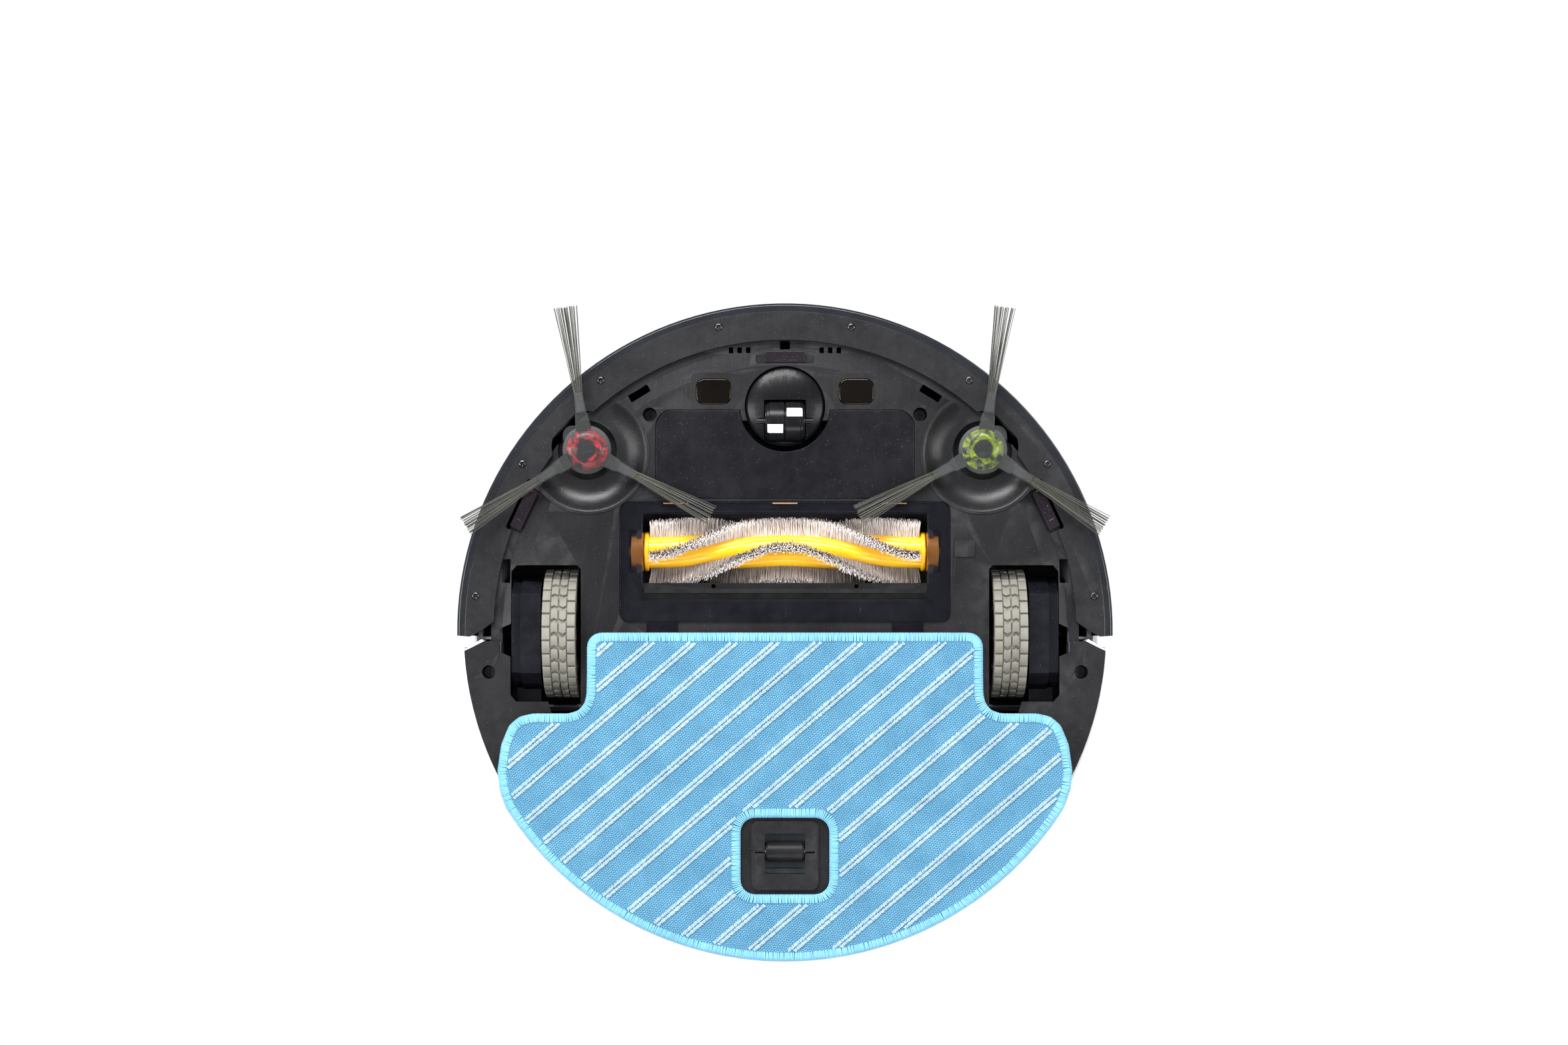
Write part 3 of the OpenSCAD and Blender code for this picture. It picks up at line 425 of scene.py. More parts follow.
def board_material():
    """Green circuit board with copper tracks under the lacquer."""
    material, tree, shader = blank("Circuit board", {"Coat Weight": 0.4})
    inputs = {"Vector": object_place(tree), "Scale": 260.0}
    cells = put(tree, "ShaderNodeTexVoronoi", inputs, distance="MANHATTAN")
    track = maths(tree, "LESS_THAN", cells.outputs["Distance"], 0.24)
    tint = mixed(tree, track, (0.01, 0.11, 0.05, 1.0), (0.03, 0.26, 0.12, 1.0))
    tree.links.new(tint, shader.inputs["Base Color"])
    rub(tree, shader, {"Low": 0.3, "High": 0.5})
    return material


DUST = (0.32, 0.31, 0.3, 1.0)
SOCKET_DARK = (0.012, 0.013, 0.018, 1.0)
USED = {"dust": 0.03, "wear": 0.35}
# Grained plastics, like the battery cover, carry painted glints on their grain's peaks.
GRAINED = {**USED, "fleck": 0.25, "Specular_IOR_Level": 0.3}
METAL = {"Metallic": 1.0}

# Moulded and metal slots: name, colour or the panel's name for it, lowest and highest roughness,
# grains in a metre (0 for the panel's), depth of the grain, and what else the finish has.
MOULDED = {
    "base_black": ("Grained black", "base", 0.3, 0.4, 0, 0.22, GRAINED),
    "frame_grey": ("Frame grey", (0.05, 0.05, 0.055), 0.45, 0.6, 0, 0.3, {}),
    "shell_white": ("Casing white", "shell", 0.16, 0.28, 900, 0.03, {"Coat_Weight": 0.5}),
    "cover_black": (
        "Battery cover black", (0.0035, 0.0035, 0.005), 0.22, 0.32, 0, 0.08,
        {"fleck": 0.2, "dust": 0.05, "wear": 0.3, "Specular_IOR_Level": 0.2},
    ),
    "screw_steel": ("Screw steel", (0.4, 0.4, 0.42), 0.28, 0.45, 2500, 0.15, METAL),
    "screw_black": ("Screw black", (0.05, 0.05, 0.055), 0.25, 0.4, 2500, 0.15, METAL),
    "cell_wrap": ("Cell wrap", (0.03, 0.12, 0.4), 0.25, 0.4, 700, 0.1, {}),
    "contact_metal": (
        "Contact metal", (0.04, 0.031, 0.025), 0.08, 0.16, 300, 0.02, {**METAL, "dust": 0.03}
    ),
    "lens_dark": (
        "Sensor window", (0.008, 0.004, 0.007), 0.06, 0.12, 600, 0.02, {"dust": 0.06, "Coat_Weight": 0.6}
    ),
    "motor_metal": ("Motor case", (0.42, 0.42, 0.44), 0.3, 0.45, 1800, 0.12, METAL),
    "impeller_grey": ("Impeller", (0.35, 0.36, 0.38), 0.35, 0.5, 0, 0.1, {}),
    "rubber_black": (
        "Black rubber", (0.006, 0.006, 0.0065), 0.3, 0.45, 1900, 0.12,
        {"dust": 0.03, "wear": 0.3, "Specular_IOR_Level": 0.15},
    ),
    "lens_black": ("Laser window", (0.004, 0.004, 0.005), 0.08, 0.16, 600, 0.02, {"Coat_Weight": 0.5}),
    "button_grey": ("Button", (0.62, 0.63, 0.66), 0.2, 0.32, 900, 0.05, {"Coat_Weight": 0.3}),
    "light_guide": ("Light guide", (0.7, 0.78, 0.86), 0.25, 0.35, 900, 0.05, {"Coat_Weight": 0.3}),
    "handle_grey": ("Handle grey", (0.3, 0.31, 0.33), 0.3, 0.42, 0, 0.15, {"wear": 0.3}),
    "filter_paper": ("Filter paper", (0.82, 0.81, 0.76), 0.75, 0.9, 2400, 0.5, {}),
    "bumper_gloss": (
        "Bumper gloss", "gloss", 0.14, 0.24, 500, 0.02,
        {"dust": 0.03, "wear": 0.15, "Coat_Weight": 0.3, "Coat_Roughness": 0.1},
    ),
    "bumper_black": ("Bumper black", (0.0075, 0.0075, 0.0087), 0.3, 0.4, 0, 0.22, GRAINED),
    "core_yellow": ("Brush core", "core", 0.26, 0.4, 500, 0.06, {"Coat_Weight": 0.15}),
    "bearing_orange": ("Bearing cap", (0.85, 0.3, 0.03), 0.3, 0.42, 0, 0.08, {}),
    "tyre_grey": ("Tyre rubber", "tyre", 0.62, 0.78, 1600, 0.35, {"dust": 0.05, "wear": 0.15}),
    "rim_black": ("Rim black", (0.012, 0.012, 0.014), 0.32, 0.45, 0, 0.15, {"wear": 0.3}),
    "gearbox_black": (
        "Gearbox black", (0.003, 0.0032, 0.0055), 0.2, 0.3, 0, 0.05, {**USED, "Specular_IOR_Level": 0.3}
    ),
    "caster_black": (
        "Caster black", (0.004, 0.004, 0.0048), 0.2, 0.3, 0, 0.06, {**USED, "Specular_IOR_Level": 0.16}
    ),
}

# See-through slots: name, colour, how solid they look face on and edge on, lowest and highest
# roughness, and what else the finish has.
CLEAR = {
    "bin_smoke": ("Bin smoke", (0.045, 0.048, 0.055), 0.62, 0.92, 0.12, 0.25, {}),
    "tank_smoke": ("Tank smoke", (0.1, 0.12, 0.14), 0.55, 0.9, 0.12, 0.25, {}),
    "hub_clear": ("Clear hub", (0.13, 0.137, 0.135), 0.15, 0.8, 0.14, 0.26, {"Coat_Weight": 0.3}),
    "cover_smoke": (
        "Smoked cover", "smoke", 0.3, 0.85, 0.1, 0.2,
        {"dust": 0.03, "wear": 0.3, "Specular_IOR_Level": 0.35},
    ),
}
COUPLERS = {
    "coupler_red": ("Red coupler", (0.72, 0.008, 0.03)),
    "coupler_green": ("Green coupler", (0.5, 0.68, 0.01)),
}
_finishes = {}


def finish_of(slot):
    """The material of one of the record's slots."""
    if slot not in _finishes:
        _finishes[slot] = make_finish(slot)
    return _finishes[slot]


def make_finish(slot):
    f, c, b = settings("vacuum_finishes"), settings("cloth_sizes"), settings("bristle_sizes")
    if slot in MOULDED or slot in CLEAR:
        name, colour, *numbers, extras = MOULDED.get(slot) or CLEAR[slot]
        colour = getattr(f, colour) if isinstance(colour, str) else colour
        if slot in CLEAR:
            return clear(name, colour, *numbers, **extras)
        low, high, grains, depth = numbers
        return moulded(name, colour, low, high, grains or f.grain, depth, **extras)
    if slot in COUPLERS:
        return coupler_material(*COUPLERS[slot])
    if slot == "board_green":
        return board_material()
    if slot == "cloth_blue":
        return cloth_material("Knitted cloth", c.colour, c.shade)
    if slot == "bristle_pale":
        return fibre_material("Pale tufts", b.pale, 0.8, Sheen_Weight=0.4)
    return fibre_material("Side bristles", b.sweep, 0.3, Specular_IOR_Level=0.7)


# The record's slots and the CAD parts in each.
SLOTS = {
    "base_black": "base_plate contact_bezels lidar_base",
    "frame_grey": "mid_frame wheel_housing_right wheel_housing_left bin_bay brush_chamber fan_housing",
    "shell_white": "top_cover bin_lid lidar_cover",
    "cover_black": "battery_cover",
    "screw_steel": "base_screws suspension_pins rear_roller_pin",
    "screw_black": "bumper_screws",
    "cell_wrap": "battery_pack",
    "board_green": "main_board",
    "contact_metal": "charging_contact_right charging_contact_left",
    "lens_dark": "cliff_window_front cliff_window_right cliff_window_left",
    "motor_metal": "side_brush_motors brush_motor",
    "impeller_grey": "fan_impeller",
    "rubber_black": "scraper_strip rear_roller tank_plug",
    "lens_black": "lidar_rotor",
    "button_grey": "power_button",
    "light_guide": "status_ring",
    "bin_smoke": "dust_bin",
    "handle_grey": "bin_handle",
    "filter_paper": "bin_filter",
    "bumper_gloss": "bumper_skin",
    "bumper_black": "bumper_band mop_plate",
    "cover_smoke": "brush_cover",
    "core_yellow": "main_brush_core",
    "bristle_pale": "main_brush_bristles",
    "bearing_orange": "main_brush_bearings",
    "tyre_grey": "drive_tyre_right drive_tyre_left",
    "rim_black": "drive_rim_right drive_rim_left",
    "gearbox_black": "drive_gearbox_right drive_gearbox_left",
    "caster_black": "caster_dome caster_wheel caster_axle",
    "hub_clear": "side_brush_hub_right side_brush_hub_left",
    "side_bristle": "side_brush_bristles_right side_brush_bristles_left",
    "coupler_red": "side_brush_coupler_right",
    "coupler_green": "side_brush_coupler_left",
    "cloth_blue": "mop_cloth",
    "tank_smoke": "water_tank",
}
DARK_STEEL = ("base_screws", "suspension_pins")
SLOT = {node: slot for slot, nodes in SLOTS.items() for node in nodes.split()}


# ---- meshes ----------------------------------------------------------------------------------


def placed(name, data):
    """A new object in the scene."""
    thing = bpy.data.objects.new(name, data)
    bpy.context.scene.collection.objects.link(thing)
    return thing


def show(name, mesh, material, body):
    """Makes a mesh a piece that rides on a body."""
    mesh.name = name
    if not mesh.materials:
        mesh.materials.append(material)
    piece = placed(name, mesh)
    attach(piece, body)
    return piece


def mesh_of(verts, faces, smooth=40):
    """A mesh from points and faces, merged, with its faces outwards and smooth up to an angle."""
    work = bmesh.new()
    points = [work.verts.new(v) for v in verts]
    for face in faces:
        if len(set(face)) == len(face):
            work.faces.new([points[i] for i in face])
    bmesh.ops.remove_doubles(work, verts=work.verts, dist=1e-7)
    bmesh.ops.recalc_face_normals(work, faces=work.faces)
    mesh = bpy.data.meshes.new("shape")
    work.to_mesh(mesh)
    work.free()
    soften(mesh, smooth)
    return mesh


def soften(mesh, angle):
    """Smooth shading, with edges that turn by more degrees than the angle left sharp."""
    mesh.shade_smooth()
    mesh.set_sharp_from_angle(angle=math.radians(angle))


# Edges that turn by more degrees than this are rounded.
EDGE_ANGLE = 30


def rounded(node, width):
    """A merged copy of a CAD node with rounded edges, which stands for it."""
    work = bmesh.new()
    work.from_mesh(NODES[node].data)
    bmesh.ops.remove_doubles(work, verts=work.verts, dist=2e-6)
    flat = math.radians(0.5)
    bmesh.ops.dissolve_limit(work, angle_limit=flat, verts=work.verts, edges=work.edges)
    sharp = [
        e for e in work.edges if len(e.link_faces) == 2 and e.calc_face_angle(0) > math.radians(EDGE_ANGLE)
    ]
    bmesh.ops.bevel(
        work, geom=sharp, offset=width * MM, offset_type="OFFSET", segments=2,
        profile=0.5, affect="EDGES", clamp_overlap=True,
    )
    mesh = bpy.data.meshes.new(node + "_finish")
    work.to_mesh(mesh)
    work.free()
    soften(mesh, 38)
    piece = show(node + "_finish", mesh, finish_of(SLOT[node]), BODY[node])
    piece.modifiers.new("Even shading", "WEIGHTED_NORMAL").keep_sharp = True
    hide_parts(node)
    return piece


def points_mesh(rows):
    """Points for a tree to put copies on, from rows of a place, a turn, a span and a tone."""
    places, turns, spans, tones = zip(*rows)
    mesh = bpy.data.meshes.new("points")
    mesh.from_pydata([tuple(p) for p in places], [], [])
    for name, kind, key, values in (
        ("turn", "FLOAT_VECTOR", "vector", turns), ("span", "FLOAT", "value", spans),
        ("tone", "FLOAT", "value", tones),
    ):
        layer = mesh.attributes.new(name, kind, "POINT")
        layer.data.foreach_set(key, np.array(values, np.float32).ravel())
    return mesh


def named(tree, name, kind):
    return put(tree, "GeometryNodeInputNamedAttribute", {"Name": name}, data_type=kind).outputs[0]


def scaled(tree, vector, scale):
    return put(tree, "ShaderNodeVectorMath", {0: vector, "Scale": scale}, operation="SCALE").outputs[0]


def at_random(tree, low, high, seed):
    """A random number on every copy."""
    inputs = {2: low, 3: high, "Seed": seed}
    return put(tree, "FunctionNodeRandomValue", inputs, data_type="FLOAT").outputs[1]


def random_lean(tree, reach, seed):
    """A random turn on every point, up to a reach either way about each axis."""
    inputs = {"Min": scaled(tree, reach, -1.0), "Max": reach, "Seed": seed}
    return put(tree, "FunctionNodeRandomValue", inputs, data_type="FLOAT_VECTOR").outputs[0]


def as_rotation(tree, angles):
    return put(tree, "FunctionNodeEulerToRotation", {0: angles}).outputs[0]


def point_turn(tree):
    return as_rotation(tree, named(tree, "turn", "FLOAT_VECTOR"))


def turned(tree, rotation, angles):
    """A rotation with more angles in its own axes."""
    inputs = {0: rotation, 1: as_rotation(tree, angles)}
    return put(tree, "FunctionNodeRotateRotation", inputs, rotation_space="LOCAL").outputs[0]


def on_points(tree, points, shape, rotation, scale=(1.0, 1.0, 1.0)):
    inputs = {"Points": points, "Instance": shape, "Rotation": rotation, "Scale": scale}
    return put(tree, "GeometryNodeInstanceOnPoints", inputs).outputs[0]


def shape_of(tree, source):
    info = put(tree, "GeometryNodeObjectInfo", {"Object": source}, transform_space="ORIGINAL")
    return info.outputs["Geometry"]


def close_tree(tree, instances, material, out):
    """Ends a tree: its copies made real and given their material."""
    real = put(tree, "GeometryNodeRealizeInstances", {0: instances})
    done = put(tree, "GeometryNodeSetMaterial", {"Geometry": real.outputs[0], "Material": material})
    tree.links.new(done.outputs[0], out)
    return tree


def copies_tree():
    """Puts a shape on every point, turned and sized by the point."""
    tree, ins, outs = group(
        "Copies on points",
        [("Points", SOLID, None), ("Shape", OBJECT, None), ("Size", FLOAT, 1.0), ("Jitter", FLOAT, 0.0),
         ("Seed", WHOLE, 3), ("Material", MATERIAL, None)], [("Geometry", SOLID)], "GeometryNodeTree",
    )
    lean = random_lean(tree, scaled(tree, (1.0, 1.0, 1.0), ins["Jitter"]), ins["Seed"])
    size = maths(tree, "MULTIPLY", named(tree, "span", "FLOAT"), ins["Size"])
    shape = shape_of(tree, ins["Shape"])
    copies = on_points(tree, ins["Points"], shape, turned(tree, point_turn(tree), lean), size)
    return close_tree(tree, copies, ins["Material"], outs[0])


def bristle_tree():
    """Grows a tapered strand from every point, along the point's turn and as long as its span."""
    tree, ins, outs = group(
        "Bristle field",
        [("Points", SOLID, None), ("Strand radius", FLOAT, 0.0001), ("Bend", FLOAT, 0.0),
         ("Lean spread", FLOAT, 0.1), ("Spin", FLOAT, 0.0), ("Length spread", FLOAT, 0.05),
         ("Steps", WHOLE, 3), ("Taper", FLOAT, 0.5), ("Seed", WHOLE, 7), ("Material", MATERIAL, None)],
        [("Geometry", SOLID)], "GeometryNodeTree",
    )
    tip = put(tree, "ShaderNodeCombineXYZ", {0: 0.0, 1: ins["Bend"], 2: 1.0}).outputs[0]
    line = put(
        tree, "GeometryNodeCurveQuadraticBezier",
        {"Resolution": ins["Steps"], "Start": (0.0, 0.0, 0.0), "Middle": (0.0, 0.0, 0.55), "End": tip},
    )
    along = put(tree, "GeometryNodeSplineParameter").outputs["Factor"]
    thin = spread(tree, along, 0.0, 1.0, 1.0, ins["Taper"])
    tapered = put(tree, "GeometryNodeSetCurveRadius", {"Curve": line.outputs[0], "Radius": thin})
    radius = ins["Strand radius"]
    section = put(tree, "GeometryNodeCurvePrimitiveCircle", {"Resolution": 3, "Radius": radius})
    strand = put(
        tree, "GeometryNodeCurveToMesh",
        {"Curve": tapered.outputs[0], "Profile Curve": section.outputs[0], "Fill Caps": True},
    )
    sideways = ins["Lean spread"]
    reach = put(tree, "ShaderNodeCombineXYZ", {0: sideways, 1: sideways, 2: ins["Spin"]}).outputs[0]
    lean = random_lean(tree, reach, ins["Seed"])
    shorter = maths(tree, "SUBTRACT", 1.0, ins["Length spread"])
    longer = maths(tree, "ADD", 1.0, ins["Length spread"])
    length = maths(tree, "MULTIPLY", named(tree, "span", "FLOAT"), at_random(tree, shorter, longer, 11))
    size = put(tree, "ShaderNodeCombineXYZ", {0: 1.0, 1: 1.0, 2: length}).outputs[0]
    copies = on_points(tree, ins["Points"], strand.outputs[0], turned(tree, point_turn(tree), lean), size)
    return close_tree(tree, copies, ins["Material"], outs[0])


def stitch_tree():
    """Sews a thread shape along an edge at an even pitch, turned to follow it."""
    tree, ins, outs = group(
        "Edge stitches",
        [("Edge", SOLID, None), ("Shape", OBJECT, None), ("Pitch", FLOAT, 0.0012), ("Jitter", FLOAT, 0.05),
         ("Seed", WHOLE, 5), ("Material", MATERIAL, None)], [("Geometry", SOLID)], "GeometryNodeTree",
    )
    curve = put(tree, "GeometryNodeMeshToCurve", {0: ins["Edge"]}).outputs[0]
    stops = put(tree, "GeometryNodeResampleCurve", {"Curve": curve, "Length": ins["Pitch"]}, mode="LENGTH")
    tangent = put(tree, "GeometryNodeInputTangent").outputs[0]
    along = put(tree, "FunctionNodeAlignRotationToVector", {"Vector": tangent}, axis="X", pivot_axis="Z")
    low = maths(tree, "MULTIPLY", ins["Jitter"], -1.0)
    lean = at_random(tree, low, ins["Jitter"], ins["Seed"])
    about = put(tree, "ShaderNodeCombineXYZ", {2: lean}).outputs[0]
    shape = shape_of(tree, ins["Shape"])
    copies = on_points(tree, stops.outputs[0], shape, turned(tree, along.outputs[0], about))
    marked = put(
        tree, "GeometryNodeStoreNamedAttribute",
        {"Geometry": copies, "Name": "tone", "Value": at_random(tree, 0.0, 1.0, 21)},
        data_type="FLOAT", domain="INSTANCE",
    )
    return close_tree(tree, marked.outputs[0], ins["Material"], outs[0])


TREES = {"copies": copies_tree, "bristles": bristle_tree, "stitches": stitch_tree}


def grown(kind, start, material, shape=None, **values):
    """Runs one of the trees on a mesh and returns the result as a plain mesh."""
    if kind not in _groups:
        _groups[kind] = TREES[kind]()
    tree = _groups[kind]
    host, source = placed("host", start), None
    given = {"Material": material, **spaced(values)}
    if shape is not None:
        given["Shape"] = source = placed("source", shape)
    build = host.modifiers.new("Build", "NODES")
    build.node_group = tree
    sockets = {i.name: i.identifier for i in tree.interface.items_tree if i.in_out == "INPUT"}
    for name, value in given.items():
        build[sockets[name]] = value
    bpy.context.view_layer.update()
    graph = bpy.context.evaluated_depsgraph_get()
    result = host.evaluated_get(graph)
    mesh = bpy.data.meshes.new_from_object(result, preserve_all_data_layers=True, depsgraph=graph)
    host.modifiers.remove(build)
    for spare in filter(None, (host, source)):
        bpy.data.objects.remove(spare)
    if not mesh.polygons:
        raise RuntimeError(f"the tree {tree.name} made nothing")
    mesh.shade_smooth()
    return mesh


def loops_at(node, height):
    """Closed outlines of a node's flat faces at a height, the longest first, in metres."""
    mesh = NODES[node].data
    points = {}
    edges = {}
    for face in mesh.polygons:
        corners = [mesh.vertices[i].co for i in face.vertices]
        if all(abs(c.z - height) < 1e-5 for c in corners):
            keys = [(round(c.x, 6), round(c.y, 6)) for c in corners]
            for key, corner in zip(keys, corners):
                points[key] = Vector((corner.x, corner.y))
            for a, b in zip(keys, keys[1:] + keys[:1]):
                edges[(a, b)] = edges.get((a, b), 0) + 1
    following = {a: b for a, b in edges if (b, a) not in edges}
    loops = []
    while following:
        start, here = next(iter(following.items()))
        loop = [start]
        del following[start]
        while here != start:
            loop.append(here)
            here = following.pop(here)
        loops.append([points[k] for k in loop])
    loops.sort(key=lambda l: -sum((a - b).length for a, b in zip(l, l[1:] + l[:1])))
    return [as_wound(loop, i == 0) for i, loop in enumerate(loops)]


def as_wound(loop, anticlockwise):
    """The loop, turned round if it runs the other way."""
    area = sum(a.x * b.y - b.x * a.y for a, b in zip(loop, loop[1:] + loop[:1]))
    return loop if (area > 0) == anticlockwise else loop[::-1]


def even(points, step):
    """Points at an even step along a closed line."""
    lengths = np.concatenate([[0.0], np.cumsum(np.linalg.norm(np.roll(points, -1, 0) - points, axis=1))])
    at = np.linspace(0, lengths[-1], max(8, round(lengths[-1] / step)), endpoint=False)
    closed = np.vstack([points, points[:1]])
    return np.column_stack([np.interp(at, lengths, closed[:, k]) for k in (0, 1)])


def smooth_loop(loop, step):
    """The loop at an even step, with its facets smoothed away."""
    fine = even(np.array([tuple(p) for p in loop]), 0.5 * MM)
    for _ in range(6):
        fine = (np.roll(fine, 1, 0) + 2 * fine + np.roll(fine, -1, 0)) / 4
    return even(fine, step)


def inset(loop, distance):
    """The loop moved inwards by a distance, with any folds at tight corners opened."""
    ahead, behind = np.roll(loop, -1, 0), np.roll(loop, 1, 0)
    tangent = ahead - behind
    tangent /= np.linalg.norm(tangent, axis=1)[:, None]
    moved = loop + np.column_stack([-tangent[:, 1], tangent[:, 0]]) * distance
    for _ in range(40):
        folded = ((np.roll(moved, -1, 0) - moved) * (ahead - loop)).sum(1) <= 0
        if not folded.any():
            break
        loose = folded | np.roll(folded, 1) | np.roll(folded, -1)
        moved[loose] = ((np.roll(moved, 1, 0) + np.roll(moved, -1, 0)) / 2)[loose]
    return moved


def inside(points, loops):
    """Which points are in the first loop and outside the others."""
    count = np.zeros(len(points), int)
    for loop in loops:
        ahead = np.roll(loop, -1, 0)
        for (ax, ay), (bx, by) in zip(loop, ahead):
            if ay != by:
                crosses = (points[:, 1] > min(ay, by)) & (points[:, 1] <= max(ay, by))
                count += crosses & (points[:, 0] < ax + (points[:, 1] - ay) * (bx - ax) / (by - ay))
    return count % 2 == 1


# ---- pieces ----------------------------------------------------------------------------------

# How far the edges of each moulding are rounded, in millimetres.
ROUNDED = {
    "base_plate": 0.3, "battery_cover": 0.3, "brush_cover": 0.35, "contact_bezels": 0.3,
    "charging_contact_right": 0.5, "charging_contact_left": 0.5, "scraper_strip": 0.25, "bumper_band": 0.3,
    "bumper_skin": 0.25, "mop_plate": 0.4, "top_cover": 0.3, "bin_lid": 0.4, "bin_handle": 0.5,
    "drive_gearbox_right": 0.5, "drive_gearbox_left": 0.5, "drive_rim_right": 0.4, "drive_rim_left": 0.4,
    "caster_dome": 0.4, "caster_wheel": 0.3, "rear_roller": 0.3, "lidar_base": 0.3, "lidar_cover": 0.3,
    "lidar_rotor": 0.3, "power_button": 0.3, "cliff_window_front": 0.2, "cliff_window_right": 0.2,
    "cliff_window_left": 0.2, "side_brush_hub_right": 0.3, "side_brush_hub_left": 0.3, "water_tank": 0.4,
    "dust_bin": 0.4, "wheel_housing_right": 0.3, "wheel_housing_left": 0.3, "main_brush_bearings": 0.4,
}


class VACUUM_OT_finishes(bpy.types.Operator):
    """Give every CAD part its finish"""

    bl_idname = "vacuum.finishes"
    bl_label = "Finishes"

    def execute(self, context):
        for name, node in NODES.items():
            node.data.materials.clear()
            node.data.materials.append(finish_of("screw_black" if name in DARK_STEEL else SLOT[name]))
        return {"FINISHED"}


class VACUUM_OT_housings(bpy.types.Operator):
    """Round the edges of the mouldings that show"""

    bl_idname = "vacuum.housings"
    bl_label = "Rounded mouldings"

    def execute(self, context):
        for node, width in ROUNDED.items():
            rounded(node, width)
        return {"FINISHED"}


def strip(a, b, n):
    """Faces between two closed rings of n points, from where each ring starts."""
    return [(a + k, a + (k + 1) % n, b + (k + 1) % n, b + k) for k in range(n)]


def stack(rings, n):
    """Faces over a stack of rings of n points each."""
    return [face for i in range(rings - 1) for face in strip(i * n, (i + 1) * n, n)]


def closed(first, n):
    """Edges of a closed line of n points."""
    return [(first + k, first + (k + 1) % n) for k in range(n)]


def tube(path, radius, sides):
    """A closed tube round a short path in its local YZ plane, as points and faces."""
    verts = []
    for i, (y, z, r) in enumerate(path):
        ay, az = path[max(0, i - 1)][:2]
        by, bz = path[min(len(path) - 1, i + 1)][:2]
        size = math.hypot(by - ay, bz - az)
        ny, nz = -(bz - az) / size, (by - ay) / size
        for k in range(sides):
            t = 2 * math.pi * k / sides
            rise = radius * r * math.sin(t)
            verts.append((radius * r * math.cos(t), y + ny * rise, z + nz * rise))
    ends = [tuple(range(sides)), tuple(range((len(path) - 1) * sides, len(path) * sides))]
    return verts, stack(len(path), sides) + ends


# The cloth's section from its face, round its edge, to its back: how far in from the outline and
# how high above the face of the ribs, in millimetres.
CLOTH_SECTION = ((1.5, 0.95), (0.6, 1.05), (0.12, 1.4), (0.0, 1.9), (0.12, 2.45), (0.9, 2.8))
# Steps between the cloth's points along its outline, over its face and over its back, then the
# half distance between a rib's rows, and how high a terry loop lies and how far it strays.
OUTLINE_STEP, FACE_STEP, BACK_STEP = 1.6, 2.6, 9.0
ROW_APART, LOOP_HEIGHT, LOOP_STRAY = 1.08, 0.72, 0.07
# How far the cloth's points and its ribs are laid out before they are cut to the outline, in metres.
CLOTH_REACH, CLOTH_MIDDLE = 0.26, np.array([0.0, -0.08])
RIB_REACH, RIBS_EACH_WAY, RIB_MIDDLE = 0.32, 16, np.array([-38.1, -7.1]) * MM


